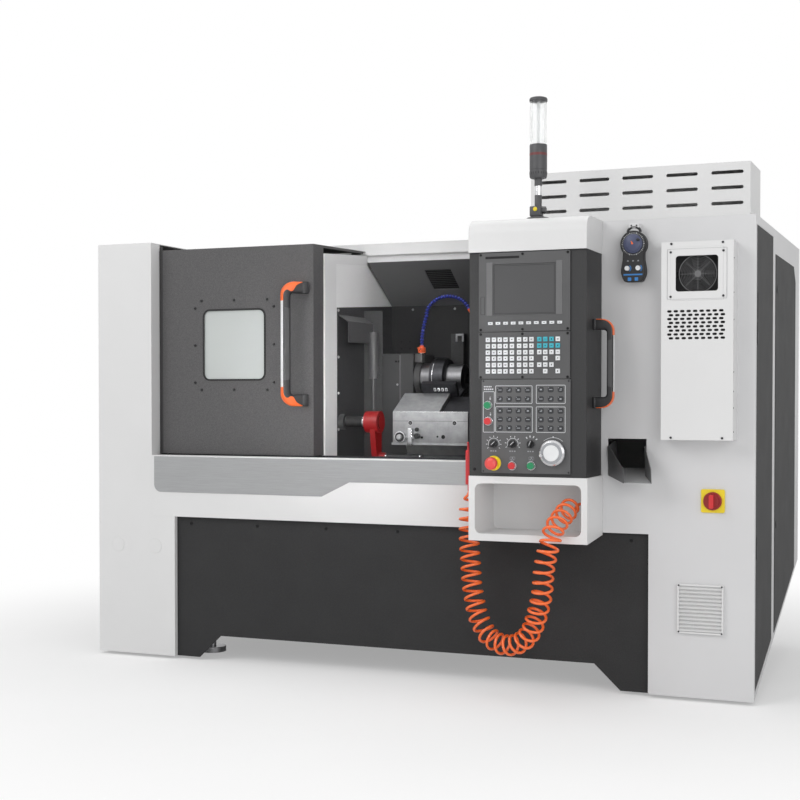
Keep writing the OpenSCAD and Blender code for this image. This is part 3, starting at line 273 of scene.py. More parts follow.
# Light grey for the chute's floor: painted light where the light falls on it
PAINTED_LIGHT_ON_CHUTE = paint("painted_light_on_chute_floor", srgb(188, 189, 190), 0.3)
CEILING_GREY = paint("ceiling_paint", srgb(112, 112, 113), 0.5)
STAINLESS = brushed("stainless_sheet", srgb(170, 171, 172), 0.42)
STEEL = machined("ground_steel", srgb(190, 190, 192))
# Blackened steel; also painted shade on the top of the cross slide beside the tool block
BLACK_STEEL_AND_SHADE = machined("black_steel_and_painted_shade", srgb(70, 70, 73), 0.36)
# Darker copy of the ground steel for the spindle and the chuck's sleeve: painted shade for their dim
# reflections inside the closed work area
SHADED_SPINDLE_STEEL = machined("spindle_steel_painted_shade", srgb(128, 128, 130), 0.36)
CHROME = machined("chrome_plate", srgb(214, 214, 216), 0.16, 25)
HEAD_GREY = paint("headstock_paint", srgb(56, 56, 57), 0.5, 140, 0.0003)
CAST_GREY = paint("casting_paint", srgb(120, 122, 124), 0.5, 140, 0.0003)
TOOL_GREY = machined("tool_block_steel", srgb(164, 165, 166), 0.4, 30, 0.75)
BLACK_PLASTIC = plastic("black_plastic", srgb(34, 34, 36), 0.38)
SOFT_BLACK = plastic("soft_black_plastic", srgb(30, 30, 32), 0.55)
RUBBER = plastic("gasket_rubber", srgb(26, 26, 27), 0.7, 400)
GREY_PLATE = plastic("grey_keypad_film", srgb(88, 88, 89), 0.45, 1500, 0.00004)
BEZEL = plastic("display_bezel", srgb(82, 82, 83), 0.45, 1100)
ORANGE = plastic("orange_plastic", srgb(246, 108, 40), 0.34, coat=0.2)
HOSE_ORANGE = plastic("orange_air_line", srgb(250, 112, 44), 0.25, 300, coat=0.4)
RED = plastic("red_plastic", srgb(206, 44, 48), 0.3, coat=0.3)
ESTOP_RED = plastic("salmon_red_plastic", srgb(222, 74, 70), 0.35, coat=0.2)
DEEP_RED = plastic("deep_red_plastic", srgb(150, 34, 36), 0.4)
GREEN = plastic("green_plastic", srgb(22, 132, 84), 0.3, coat=0.3)
YELLOW = plastic("yellow_plastic", srgb(240, 214, 40), 0.38, coat=0.1)
TEAL = plastic("teal_key", srgb(64, 174, 190), 0.45, 900)
KEY_WHITE = plastic("white_key", srgb(226, 228, 230), 0.45, 900)
BLUE = plastic("blue_hose_plastic", srgb(44, 56, 150), 0.4)
WHEEL_BLUE = plastic("blue_grey_wheel", srgb(70, 76, 104), 0.4)
CATCHER_RED = paint("catcher_paint", srgb(146, 22, 24), 0.35, 200)
SCREEN_GLASS = glass("display_glass", srgb(78, 78, 79), 0.2, 0.0)
PANE = glass("door_pane", srgb(214, 219, 217), 0.22, 0.25)
LENS = glass("lamp_lens", srgb(248, 250, 250), 0.04, 0.9, 0.3)
MARK_WHITE = plastic("printed_white", srgb(206, 208, 210), 0.5, 1500, 0.00002, edge=0)
MARK_GREY = plastic("printed_grey", srgb(158, 160, 164), 0.5, 1500, 0.00002, edge=0)
# Near black for dark screws, print and strips, and painted shade in holes, slits, slots and recesses
DARK_PARTS_AND_SHADE = plastic("dark_parts_and_painted_shade", srgb(20, 20, 21), 0.8)
FRAME_GREY = plastic("display_frame_grey", srgb(104, 104, 105), 0.45, 1100)
FILM_DARK = plastic("dark_key_film", srgb(44, 45, 48), 0.4, 1500, 0.00004)
SILVER_PLASTIC = plastic("silver_plastic", srgb(186, 187, 190), 0.35, 900)
PALE_STRIP = plastic("pale_strip", srgb(232, 233, 234), 0.3, 900)
SOFT_GREY = plastic("soft_grey_plastic", srgb(70, 70, 71), 0.5)
LAMP_GREY = plastic("lamp_grey_plastic", srgb(74, 74, 76), 0.45)
LAMP_RED = plastic("lamp_red_band", srgb(106, 50, 50), 0.45)
LED_BOARD = plastic("led_board", srgb(236, 237, 237), 0.5)
PRINT_BLUE = plastic("printed_blue", srgb(58, 128, 196), 0.5, 1500, 0.00002, edge=0)
GUARD_WIRE = plastic("fan_guard_grey", srgb(104, 104, 105), 0.45)
# Dark sheet inside the cabinet cooler: painted shade behind the fan
COOLER_SHADE_SHEET = plastic("cooler_inside_painted_shade", srgb(58, 58, 59), 0.7)
SEAM_GREY = paint("seam_shadow", srgb(186, 187, 188))
SEAM_DARK = plastic("dark_seam", srgb(96, 96, 97), 0.6)
VALVE_ORANGE = plastic("valve_orange", srgb(232, 92, 36), 0.35, coat=0.2)
# Dark blue for the hose's waists between the beads: painted shade in the grooves
HOSE_SHADE = plastic("hose_waist_painted_shade", srgb(28, 34, 92), 0.5)

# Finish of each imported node
FINISHES = (
    (WHITE, "left_front_cover left_side_cover front_beam roof_cover rear_cover vent_box"),
    (WHITE, "heat_exchanger vent_grille panel_cap panel_tray"),
    (WALL_WHITE, "right_wall side_frame"),
    # Painted light: the jamb and the inner side wall get the lighter whites
    (JAMB_PAINTED_LIGHT, "jamb_cover"),
    (INNER_WALL_PAINTED_LIGHT, "inner_side_wall"),
    (CEILING_GREY, "ceiling_panel"),
    (SIDE_BLACK, "side_rear_cover cabinet_door"),
    (PANEL_BLACK, "lower_panel"),
    (GUARD_BLACK, "splash_guard"),
    (HOOD_GREY, "spindle_hood"),
    (BOX_BLACK, "panel_box"),
    (CHUTE_BLACK, "part_chute"),
    (DOOR_GREY, "door_panel"),
    (PANE, "door_window"),
    (CAST_GREY, "bed_casting saddle"),
    (HEAD_GREY, "headstock"),
    (STAINLESS, "sill_plate"),
    (STEEL, "levelling_feet"),
    (BLACK_STEEL_AND_SHADE, "door_rails collet_chuck tool_holder"),
    # Painted shade: the spindle gets the darker steel
    (SHADED_SPINDLE_STEEL, "spindle"),
    (TOOL_GREY, "cross_slide"),
    (CHROME, "handwheel"),
    (CATCHER_RED, "catcher_arm"),
    (GREY_PLATE, "electrics_plate control_plate"),
    (BEZEL, "control_unit"),
    (BLACK_PLASTIC, "door_handle panel_handle signal_lamp exchanger_fan"),
    (BLACK_PLASTIC, "left_selector middle_selector right_selector"),
    (SOFT_BLACK, "pendant_body"),
    (WHEEL_BLUE, "pendant_wheel"),
    (KEY_WHITE, "pendant_axis_knob pendant_step_knob"),
    (BLUE, "coolant_hose"),
    (HOSE_ORANGE, "air_hose"),
    (RED, "air_gun stop_button power_off_button main_switch_knob"),
    (ESTOP_RED, "estop_button"),
    (GREEN, "start_button power_on_button"),
    (YELLOW, "switch_plate"),
)
for finish, names in FINISHES:
    for name in names.split():
        nodes[name].data.materials.clear()
        nodes[name].data.materials.append(finish)


# Pieces

class Piece:
    """A mesh in the machine's millimetres that rides on one body.

    A shape that names no finish takes the piece's main one.
    """

    def __init__(self, name, body, finish):
        self.name = name
        self.body = body
        self.finishes = [finish]
        self.bm = bmesh.new()

    def take(self, part, finish=None, matrix=None):
        """Moves another bmesh into this one."""
        if matrix is not None:
            part.transform(matrix)
        if finish is None:
            finish = self.finishes[0]
        if finish not in self.finishes:
            self.finishes.append(finish)
        index = self.finishes.index(finish)
        for face in part.faces:
            face.material_index = index
        mesh = bpy.data.meshes.new("part")
        part.to_mesh(mesh)
        part.free()
        self.bm.from_mesh(mesh)
        bpy.data.meshes.remove(mesh)

    def box(self, lo, hi, finish=None, rounding=0.0, matrix=None):
        """Box between two corners, with round edges."""
        part = bmesh.new()
        bmesh.ops.create_cube(part, size=1)
        lo, hi = Vector(lo), Vector(hi)
        part.transform(Matrix.Translation((lo + hi) / 2) @ Matrix.Diagonal((*(hi - lo), 1)))
        if rounding:
            bmesh.ops.bevel(part, geom=part.edges[:], offset=rounding, segments=3, affect="EDGES",
                            profile=0.5)
        self.take(part, finish, matrix)

    def lathe(self, profile, at, axis=UP, finish=None, steps=48):
        """Turned shape: radius and height pairs along the axis from at."""
        part = bmesh.new()
        rings = []
        for r, h in profile:
            if r < 1e-6:
                rings.append([part.verts.new((0, 0, h))])
            else:
                rings.append([part.verts.new((*polar(0, 0, r, a), h)) for a in turns(steps)])
        for low, high in zip(rings, rings[1:]):
            for k in range(steps):
                n = (k + 1) % steps
                corners = [low[k % len(low)], low[n % len(low)], high[n % len(high)], high[k % len(high)]]
                corners = list(dict.fromkeys(corners))
                if len(corners) > 2:
                    part.faces.new(corners)
        turn = Vector(UP).rotation_difference(Vector(axis).normalized()).to_matrix().to_4x4()
        self.take(part, finish, Matrix.Translation(Vector(at)) @ turn)

    def plate(self, outline, y, depth, finish=None, hole=None):
        """Outline in X and Z pulled to the front from y, with an outline cut out of it."""
        part = bmesh.new()
        loops = [outline] + ([hole] if hole else [])
        edges = []
        for loop in loops:
            verts = [part.verts.new((x, y, z)) for x, z in loop]
            edges += [part.edges.new((a, b)) for a, b in zip(verts, verts[1:] + verts[:1])]
        bmesh.ops.triangle_fill(part, use_beauty=True, use_dissolve=False, edges=edges)
        out = bmesh.ops.extrude_face_region(part, geom=part.faces[:])
        moved = [v for v in out["geom"] if isinstance(v, bmesh.types.BMVert)]
        bmesh.ops.translate(part, verts=moved, vec=(0, -depth, 0))
        self.take(part, finish)

    def rod(self, points, r, finish=None, sides=12, closed=False):
        """Round bar along points, in one plane or bending gently."""
        part = bmesh.new()
        points = [Vector(p) for p in points]
        count = len(points)
        rings = []
        side = None
        for i, p in enumerate(points):
            before = points[i - 1] if i or closed else p
            after = points[(i + 1) % count] if i < count - 1 or closed else p
            along = (after - before).normalized()
            if side is None:
                side = along.orthogonal().normalized()
            side = (side - along * side.dot(along)).normalized()
            up = along.cross(side)
            rings.append([part.verts.new(p + r * (cos(a) * side + sin(a) * up))
                          for a in turns(sides)])
        pairs = list(zip(rings, rings[1:])) + ([(rings[-1], rings[0])] if closed else [])
        for low, high in pairs:
            for k in range(sides):
                n = (k + 1) % sides
                part.faces.new((low[k], low[n], high[n], high[k]))
        if not closed:
            part.faces.new(rings[0])
            part.faces.new(rings[-1])
        self.take(part, finish)

    def shell(self, outer, inner, finish=None):
        """Closed skin between two grids of points."""
        part = bmesh.new()
        rows, columns = len(outer), len(outer[0])
        faces = [[[part.verts.new(p) for p in row] for row in grid] for grid in (outer, inner)]
        for grid in faces:
            for i in range(rows - 1):
                for k in range(columns - 1):
                    part.faces.new((grid[i][k], grid[i + 1][k], grid[i + 1][k + 1], grid[i][k + 1]))
        rim = [(i, 0) for i in range(rows)] + [(rows - 1, k) for k in range(1, columns)]
        rim += [(i, columns - 1) for i in range(rows - 2, -1, -1)]
        rim += [(0, k) for k in range(columns - 2, 0, -1)]
        for (a, b), (c, d) in zip(rim, rim[1:] + rim[:1]):
            part.faces.new((faces[0][a][b], faces[0][c][d], faces[1][c][d], faces[1][a][b]))
        self.take(part, finish)

    def done(self, smooth_deg=35):
        """Turns the piece into an object on its body, with its finishes."""
        bmesh.ops.recalc_face_normals(self.bm, faces=self.bm.faces[:])
        self.bm.transform(TO_MODEL)
        mesh = bpy.data.meshes.new(self.name)
        self.bm.to_mesh(mesh)
        self.bm.free()
        for finish in self.finishes:
            mesh.materials.append(finish)
        mesh.shade_smooth()
        mesh.set_sharp_from_angle(angle=radians(smooth_deg))
        obj = add_object(self.name, mesh)
        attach(obj, self.body)
        return obj


def paint_faces(node, extra, pick):
    """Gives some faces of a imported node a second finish, by their middle in millimetres."""
    mesh = nodes[node].data
    mesh.materials.append(extra)
    index = len(mesh.materials) - 1
    to_machine = TO_MODEL.inverted() @ nodes[node].matrix_world
    for face in mesh.polygons:
        if pick(to_machine @ face.center):
            face.material_index = index


def round_rect(x, z, w, h, r, steps=6):
    """Outline of a rectangle with round corners, from its lower left corner."""
    points = []
    for cx, cz, start in ((x + w - r, z + r, -90), (x + w - r, z + h - r, 0),
                          (x + r, z + h - r, 90), (x + r, z + r, 180)):
        for k in range(steps + 1):
            points.append(polar(cx, cz, r, radians(start + 90 * k / steps)))
    return points


def circle(x, z, r, steps=48):
    """Outline of a circle."""
    return [polar(x, z, r, a) for a in turns(steps)]


def band(x, z, inner, outer, start, end, steps):
    """Outline of a part of a ring, between two angles in degrees."""
    arc = [radians(start + (end - start) * k / steps) for k in range(steps + 1)]
    return [polar(x, z, outer, a) for a in arc] + [polar(x, z, inner, a) for a in reversed(arc)]


def tick(x, z, angle, inner, outer, half):
    """Outline of a mark that points away from the middle of a dial."""
    along = Vector((cos(angle), sin(angle)))
    side = Vector((-along.y, along.x)) * half
    corners = (along * inner - side, along * outer - side, along * outer + side, along * inner + side)
    return [(x + v.x, z + v.y) for v in corners]


def frame_line(piece, x, z, w, h, y, line=1.2, lift=0.4, finish=None, r=2.0):
    """Thin printed frame."""
    piece.plate(round_rect(x, z, w, h, r), y, lift, finish,
                round_rect(x + line, z + line, w - 2 * line, h - 2 * line, max(r - line, 0.3)))


def screws(piece, places, d, axis=FRONT, finish=None, head=None):
    """Round screw heads with a socket."""
    head = head or d * 0.32
    r = d / 2
    bore = r * 0.5
    floor = head * 0.3
    profile = [(r, -0.2), (r, head * 0.55), (r * 0.8, head), (bore, head), (bore * 0.9, floor), (0, floor)]
    for at in places:
        piece.lathe(profile, at, axis, finish, 16)


# Coiled air line: the route is the one of its solid, in millimetres. TURNS counts the turns before
# the leads are eased out, over LEAD_TURNS at each end.
COIL_ROUTE = [
    (2052, -112, 664), (2040, -112, 664), (2022, -126, 656), (2010, -160, 642), (2002, -190, 624),
    (1994, -222, 604), (1986, -250, 576), (1978, -262, 535), (1968, -264, 493), (1958, -260, 443),
    (1950, -252, 371), (1934, -242, 310), (1906, -222, 240), (1870, -202, 196), (1820, -182, 172),
    (1768, -166, 173), (1722, -150, 196), (1694, -140, 234), (1674, -132, 274), (1662, -125, 319),
    (1652, -118, 360), (1645, -110, 410), (1639, -102, 462), (1633, -95, 510), (1630, -90, 565),
    (1630, -90, 625), (1632, -95, 680), (1632, -95, 700),
]
COIL_D = 76
LINE_D = 10
TURNS = 37
TURN_STEPS = 18
LEAD_TURNS = 1.6
CURVE_STEPS = 24


def resample(points, count):
    """Evenly spaced points along a smooth curve through a route."""
    pts = [Vector(p) for p in points]
    fine = []
    for i in range(len(pts) - 1):
        p0, p1, p2, p3 = pts[max(i - 1, 0)], pts[i], pts[i + 1], pts[min(i + 2, len(pts) - 1)]
        for k in range(CURVE_STEPS):
            t = k / CURVE_STEPS
            fine.append(0.5 * ((2 * p1) + (p2 - p0) * t + (2 * p0 - 5 * p1 + 4 * p2 - p3) * t * t
                               + (3 * p1 - p0 - 3 * p2 + p3) * t ** 3))
    fine.append(pts[-1])
    lengths = [0.0]
    for a, b in zip(fine, fine[1:]):
        lengths.append(lengths[-1] + (b - a).length)
    out = []
    j = 0
    for k in range(count):
        want = lengths[-1] * k / (count - 1)
        while j < len(fine) - 2 and lengths[j + 1] < want:
            j += 1
        t = (want - lengths[j]) / max(lengths[j + 1] - lengths[j], 1e-9)
        out.append(fine[j].lerp(fine[j + 1], t))
    return out


def coil_points():
    """Helix around the route that opens from a straight lead at both ends."""
    count = TURNS * TURN_STEPS + 1
    middle = resample(COIL_ROUTE, count)
    full = COIL_D / 2 - LINE_D / 2
    turn = 0.0
    out = []
    for i, p in enumerate(middle):
        along = (middle[min(i + 1, count - 1)] - middle[max(i - 1, 0)]).normalized()
        side = (Vector(BACK) - along * along.y).normalized()
        up = along.cross(side)
        ease = min(min(i, count - 1 - i) / (LEAD_TURNS * TURN_STEPS), 1)
        ease *= ease * (3 - 2 * ease)
        turn += tau * ease / TURN_STEPS
        out.append(p + full * ease * (cos(turn) * side + sin(turn) * up))
    return out


def air_line():
    """The hose as one curve, which is the part's only cord."""
    points = [TO_MODEL @ p for p in coil_points()]
    curve = bpy.data.curves.new("air_line", "CURVE")
    curve.dimensions = "3D"
    curve.bevel_depth = LINE_D / 2 * MM
    curve.bevel_resolution = 3
    curve.use_fill_caps = True
    spline = curve.splines.new("POLY")
    spline.points.add(len(points) - 1)
    for point, p in zip(spline.points, points):
        point.co = (*p, 1)
    spline.use_smooth = True
    curve.materials.append(HOSE_ORANGE)
    obj = add_object("air_line", curve)
    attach(obj, "panel")
    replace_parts(obj, "air_hose")


air_line()


# Bow handles: moulded bar with orange corner caps and a pale strip on the outer side

class BowHandle:
    """Handle between two feet; local X leads away from its foot, Z along its bar."""

    def __init__(self, place, length, reach, arm_t, bar_t, width, outer_r, inner_r):
        self.place = place
        self.length = length
        self.width = width
        corner = Vector((reach - outer_r, 0, outer_r))
        inside = Vector((reach - bar_t - inner_r, 0, arm_t + inner_r))
        ways = []
        for k in range(9):
            t = k / 8
            ways.append((Vector((corner.x * t, 0, 0)), Vector((inside.x * t, 0, arm_t))))
        for k in range(1, 15):
            a = radians(90 * k / 14)
            turn = Vector((sin(a), 0, -cos(a)))
            ways.append((corner + outer_r * turn, inside + inner_r * turn))
        self.corner_end = len(ways) - 1
        middle = length / 2
        start_in = arm_t + inner_r
        for k in range(1, 9):
            t = k / 8
            ways.append((Vector((reach, 0, outer_r + (middle - outer_r) * t)),
                         Vector((reach - bar_t, 0, start_in + (middle - start_in) * t))))
        self.half = ways
        upper = [(self.flip(a), self.flip(b)) for a, b in reversed(ways[:-1])]
        self.stations = ways + upper

    def flip(self, p):
        """The same point at the handle's other end."""
        return Vector((p.x, p.y, self.length - p.z))

    def point(self, station, turn_deg, lift=0.0):
        """Point of the rounded section, by the angle from its outer side."""
        outer, inner = station
        middle = (outer + inner) / 2
        ahead = outer - middle
        c, s = cos(radians(turn_deg)), sin(radians(turn_deg))
        x = copysign(abs(c) ** 0.5, c) * (ahead.length + lift)
        y = copysign(abs(s) ** 0.5, s) * (self.width / 2 + lift)
        return self.place @ (middle + ahead.normalized() * x + Vector((0, y, 0)))

    def body(self, piece, finish):
        """The whole bar with its closed ends."""
        sides = 32
        part = bmesh.new()
        rings = [[part.verts.new(self.point(s, 360 * k / sides)) for k in range(sides)]
                 for s in self.stations]
        for low, high in zip(rings, rings[1:]):
            for k in range(sides):
                n = (k + 1) % sides
                part.faces.new((low[k], low[n], high[n], high[k]))
        part.faces.new(rings[0])
        part.faces.new(rings[-1])
        piece.take(part, finish)

    def patch(self, piece, finish, stations, wide, lift=0.8, middle=0.0):
        """Thin skin over part of the section, wide degrees to each side of the middle."""
        across = [k / 10 - 1 for k in range(21)]
        grids = [[[self.point(s, middle + w * u, rise) for u in across] for s, w in zip(stations, wide)]
                 for rise in (lift, -0.4)]
        piece.shell(*grids, finish)


def bow_handle(node, body, handle, foot, wrap, strip):
    """Skins the handle: wrap degrees of orange to the sides at its corners, strip degrees of pale bar."""
    piece = Piece(node + "_moulding", body, BLACK_PLASTIC)
    handle.body(piece, BLACK_PLASTIC)
    first = 3
    last = handle.corner_end + 1
    wide = []
    for k in range(first, last + 1):
        t = (k - first) / (last - first)
        wide.append(36 + wrap * sin(pi * t ** 0.8) ** 1.4 + 8 * t)
    low = handle.half[first:last + 1]
    handle.patch(piece, ORANGE, low, wide)
    handle.patch(piece, ORANGE, [(handle.flip(a), handle.flip(b)) for a, b in low], wide)
    grip = handle.stations[last:len(handle.stations) - last]
    handle.patch(piece, PALE_STRIP, grip, [strip] * len(grip), 0.5)
    ridge = grip[1:-1]
    for side in (-90, 90):
        handle.patch(piece, SOFT_GREY, ridge, [22] * len(ridge), 0.5, side)
    half = handle.width / 2 + 1.2
    foot_l, foot_h = foot
    for z in (-0.8, handle.length - foot_h + 0.8):
        piece.box((0, -half, z), (foot_l, half, z + foot_h), BLACK_PLASTIC, 2.5, handle.place)
    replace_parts(piece.done(40), node)


door_lo, door_hi = span("door_panel")
bar_lo, bar_hi = span("door_handle")
HANDLE_INSET = 27
HANDLE_TURN = radians(225)
door_bow = BowHandle(turned((door_hi.x - HANDLE_INSET, door_lo.y, bar_lo.z), HANDLE_TURN, "Z"),
                     length=bar_hi.z - bar_lo.z, reach=104, arm_t=46, bar_t=34, width=34,
                     outer_r=50, inner_r=12)
bow_handle("door_handle", "door", door_bow, foot=(24, 46), wrap=66, strip=40)
grip_lo, grip_hi = span("panel_handle")
panel_bow = BowHandle(Matrix.Translation((grip_lo.x, (grip_lo.y + grip_hi.y) / 2, grip_lo.z)),
                      length=grip_hi.z - grip_lo.z, reach=grip_hi.x - grip_lo.x, arm_t=38, bar_t=23,
                      width=32, outer_r=42, inner_r=12)
bow_handle("panel_handle", "panel", panel_bow, foot=(10, 38), wrap=8, strip=16)


# Door: window gasket, painted shade on the fold at the left edge, and screws

def door_trim():
    lap = 17
    lo, hi = span("door_window")
    x, z = lo.x + lap, lo.z + lap
    w, h = hi.x - lo.x - 2 * lap, hi.z - lo.z - 2 * lap
    face = door_lo.y
    lip = 5
    gasket = Piece("window_gasket", "door", RUBBER)
    frame_line(gasket, x - lip, z - lip, w + 2 * lip, h + 2 * lip, face, 7, 2.0, RUBBER, 30)
    gasket.done()
    # Darker strip on the front at the left edge: painted shade on the door's fold
    fold = Piece("door_fold", "door", DOOR_SHADE)
    fold_w = 15
    fold.box((door_lo.x + 0.5, face - 0.4, door_lo.z + 3),
             (door_lo.x + fold_w, face + 0.5, door_hi.z - 3), DOOR_SHADE, 0.3)
    fold.done()
    heads = Piece("door_screws", "door", BLACK_PLASTIC)
    middle = x + w / 2
    places = [(middle + 147 * i, z - 41 + 354 * k) for i in (-1, 0, 1) for k in (0, 1)]
    places += [(middle + 176 * i, z - 12 + 148 * k) for i in (-1, 1) for k in (0, 1, 2)]
    screws(heads, [(px, face, pz) for px, pz in places], 11)
    heads.done()


door_trim()


# Operator panel: display, keypad and lower plate. Keys are counted by column and row, and placed
# from the unit's lower left corner; the screen is left, low, width and height above the split.

KEY_LIFT = 2
unit_lo, unit_hi = span("control_unit")
UNIT_L, UNIT_Z = unit_lo.x, unit_lo.z
FACE = unit_lo.y + KEY_LIFT
UNIT_W = unit_hi.x - unit_lo.x
SPLIT_Z = UNIT_Z + 162
KEY_COLUMNS = (34, 56, 77, 98, 121, 147, 169, 191, 219, 240, 262, 284)
KEY_ROWS = (135, 113, 91, 70, 48, 26)
BARE_KEYS = {(8, 3), (10, 3), (11, 4), (8, 5), (10, 5)}
TEAL_KEYS = {(8, 0), (9, 0), (10, 0), (8, 1), (9, 1), (10, 1), (11, 1)}
SCREEN = (51, 58, 225, 175)
plate_lo, plate_hi = span("control_plate")
PLATE_L, PLATE_Z = plate_lo.x, plate_lo.z

# Plain marks as left, right, low and high edges around a key's middle
CAP_MARKS = (
    ((-2.2, 2.2, -1.2, 1.8),),
    ((-4, 4, 0.4, 1.8), (-3, 3, -2.4, -1.0)),
    ((-1.6, 1.6, -2.6, 2.6), (2.6, 4.2, 2.4, 3.4)),
    ((-3.6, 3.6, -0.8, 0.8),),
)
FILM_MARKS = (
    ((-6, 6, -1.2, 1.2),),
    ((-4, 4, -3, -0.8), (-1, 5, 1.2, 3.6)),
    ((-3.5, 3.5, -2.5, 2.5),),
)

# Selector, count of marks, angles of its first and last mark, width of a mark
DIALS = (
    ("left_selector", 9, 215, -35, 2.2),
    ("middle_selector", 8, 205, -25, 2.4),
    ("right_selector", 4, 125, 40, 3.6),
)
PUSH_BUTTONS = ("start_button", "stop_button", "power_off_button", "power_on_button")


def display_trim():
    x, z, w, h = SCREEN
    x, z = UNIT_L + x, SPLIT_Z + z
    rim = Piece("display_frame", "panel", FRAME_GREY)
    for left in (x - 23, x + w + 1):
        rim.plate(round_rect(left, z - 1, 22, h + 8, 2), FACE, 0.8, FRAME_GREY)
    rim.plate(round_rect(UNIT_L + 24, SPLIT_Z + 252, 122, 8, 2), FACE, 0.5, DARK_PARTS_AND_SHADE)
    frame_line(rim, UNIT_L + 7, SPLIT_Z + 60, 15, 62, FACE, 0.8, 0.5, DARK_PARTS_AND_SHADE)
    rim.done()
    pane = Piece("display_pane", "panel", SCREEN_GLASS)
    pane.plate(round_rect(x + 1, z + 1, w - 2, h - 2, 3), FACE + 2.8, 1.6, SCREEN_GLASS)
    frame_line(pane, x + 5, z + 5, w - 10, h - 10, FACE + 1.25, 1.0, 0.15, DARK_PARTS_AND_SHADE)
    pane.done()
    heads = Piece("display_screws", "panel", DARK_PARTS_AND_SHADE)
    across = (UNIT_L + 7, UNIT_L + 158, UNIT_L + UNIT_W - 8)
    up = (UNIT_Z + 6, SPLIT_Z - 8, SPLIT_Z + 8, unit_hi.z - 7)
    screws(heads, [(px, FACE, pz) for px in across for pz in up], 9)
    screws(heads, [(PLATE_L - 28, span("panel_box")[0].y, PLATE_Z + 11)], 11)
    heads.done()


def key_caps():
    caps = Piece("key_caps", "panel", KEY_WHITE)
    half = 7.8
    top = FACE - KEY_LIFT - 1.2
    for i, cx in enumerate(KEY_COLUMNS):
        for k, cz in enumerate(KEY_ROWS):
            if (i, k) in BARE_KEYS:
                continue
            x, z = UNIT_L + cx, UNIT_Z + cz
            finish = TEAL if (i, k) in TEAL_KEYS else KEY_WHITE
            caps.box((x - half, top, z - half), (x + half, FACE - 0.1, z + half), finish, 1.0)
            for a, b, c, d in CAP_MARKS[(3 * i + 5 * k) % len(CAP_MARKS)]:
                caps.box((x + a, top - 0.12, z + c), (x + b, top + 0.2, z + d), DARK_PARTS_AND_SHADE)
    top = FACE - KEY_LIFT - 1.0
    z = SPLIT_Z + 25
    for i in range(10):
        x = UNIT_L + 35 + 27.5 * i
        caps.box((x - 0.4, top, z - 0.4), (x + 16.4, FACE - 0.1, z + 9.4), KEY_WHITE, 0.8)
        caps.box((x + 5, top - 0.12, z + 3.6), (x + 11, top + 0.2, z + 5.2), DARK_PARTS_AND_SHADE)
    caps.done()


def key_field(x, z, w, h, columns, rows, piece):
    """Framed field of flat keys, each with a light mark."""
    frame_line(piece, x, z, w, h, FACE, 1.8, 0.4, MARK_WHITE, 4)
    kw, kh = 21, min(h / rows - 6, 19)
    for i in range(columns):
        for k in range(rows):
            cx = x + w * (i + 0.5) / columns
            cz = z + h * (k + 0.5) / rows
            piece.plate(round_rect(cx - kw / 2, cz - kh / 2, kw, kh, 6, 3), FACE, 0.6, FILM_DARK)
            for a, b, c, d in FILM_MARKS[(i + 2 * k + columns) % len(FILM_MARKS)]:
                piece.plate([(cx + a, cz + c), (cx + b, cz + c), (cx + b, cz + d), (cx + a, cz + d)],
                            FACE - 0.6, 0.15, MARK_GREY)
            piece.plate(circle(cx - kw / 2 + 3.4, cz + kh / 2 - 3.4, 1.3, 8), FACE - 0.6, 0.2, MARK_GREY)


def lower_plate_trim():
    ink = Piece("plate_print", "panel", MARK_WHITE)
    left, low = PLATE_L, PLATE_Z
    lift = 0.3
    frame_line(ink, left + 5, low + 140, 42, 142, FACE, 1.8, 0.4, MARK_WHITE, 4)
    key_field(left + 50, low + 240, 133, 62, 4, 2, ink)
    key_field(left + 196, low + 240, 104, 64, 3, 2, ink)
    key_field(left + 50, low + 141, 134, 89, 4, 3, ink)
    key_field(left + 196, low + 141, 104, 89, 3, 3, ink)
    for row, width in ((296, 30), (287, 36)):
        for k in range(5):
            x = left + 8 + k * width / 5
            ink.plate(round_rect(x, low + row, width / 5 - 2, 4.6, 1, 2), FACE, lift, MARK_WHITE)
    for node in PUSH_BUTTONS[:2]:
        cx, cz = centre(node)
        ink.plate(circle(cx + 7, cz + 22, 2.6, 10), FACE, lift, MARK_WHITE)
        ink.plate(circle(cx + 7, cz + 28, 1.6, 10), FACE, lift, MARK_WHITE)
    for node in PUSH_BUTTONS[2:]:
        cx, cz = centre(node)
        for turn in (-1, 1):
            stroke = [(cx + 5 * turn - 1, cz + 20), (cx + 5 * turn + 1, cz + 20),
                      (cx - 3 * turn + 1, cz + 30), (cx - 3 * turn - 1, cz + 30)]
            ink.plate(stroke, FACE, lift, MARK_GREY)
        frame_line(ink, cx - 9, cz + 19, 18, 12, FACE, 0.8, lift, MARK_GREY, 3)
    for node, count, start, end, size in DIALS:
        cx, cz = centre(node)
        for k in range(count):
            a = radians(start + (end - start) * k / (count - 1))
            ink.plate(tick(cx, cz, a, 23, 26 + size, size / 2), FACE, lift, MARK_WHITE)
        if count > 4:
            ink.plate(band(cx, cz, 18.8, 20.4, 200, -20, 24), FACE, lift, MARK_WHITE)
        for k, w in enumerate((5, 4, 6)):
            ink.plate(round_rect(cx - 12 + 8 * k, cz - 27, w, 4, 1, 2), FACE, lift, MARK_GREY)
    cx, cz = centre("handwheel")
    ink.plate(band(cx, cz, 51.6, 53, 130, 50, 20), FACE, lift, MARK_WHITE)
    ink.plate(circle(cx, cz + 54, 2.8, 12), FACE, 0.4, MARK_WHITE)
    ink.done()
    heads = Piece("plate_screws", "panel", BLACK_STEEL_AND_SHADE)
    inset = 6
    across = (PLATE_L + inset, plate_hi.x - inset)
    up = (PLATE_Z + inset, plate_hi.z - inset)
    screws(heads, [(px, FACE, pz) for px in across for pz in up], 6)
    heads.done()


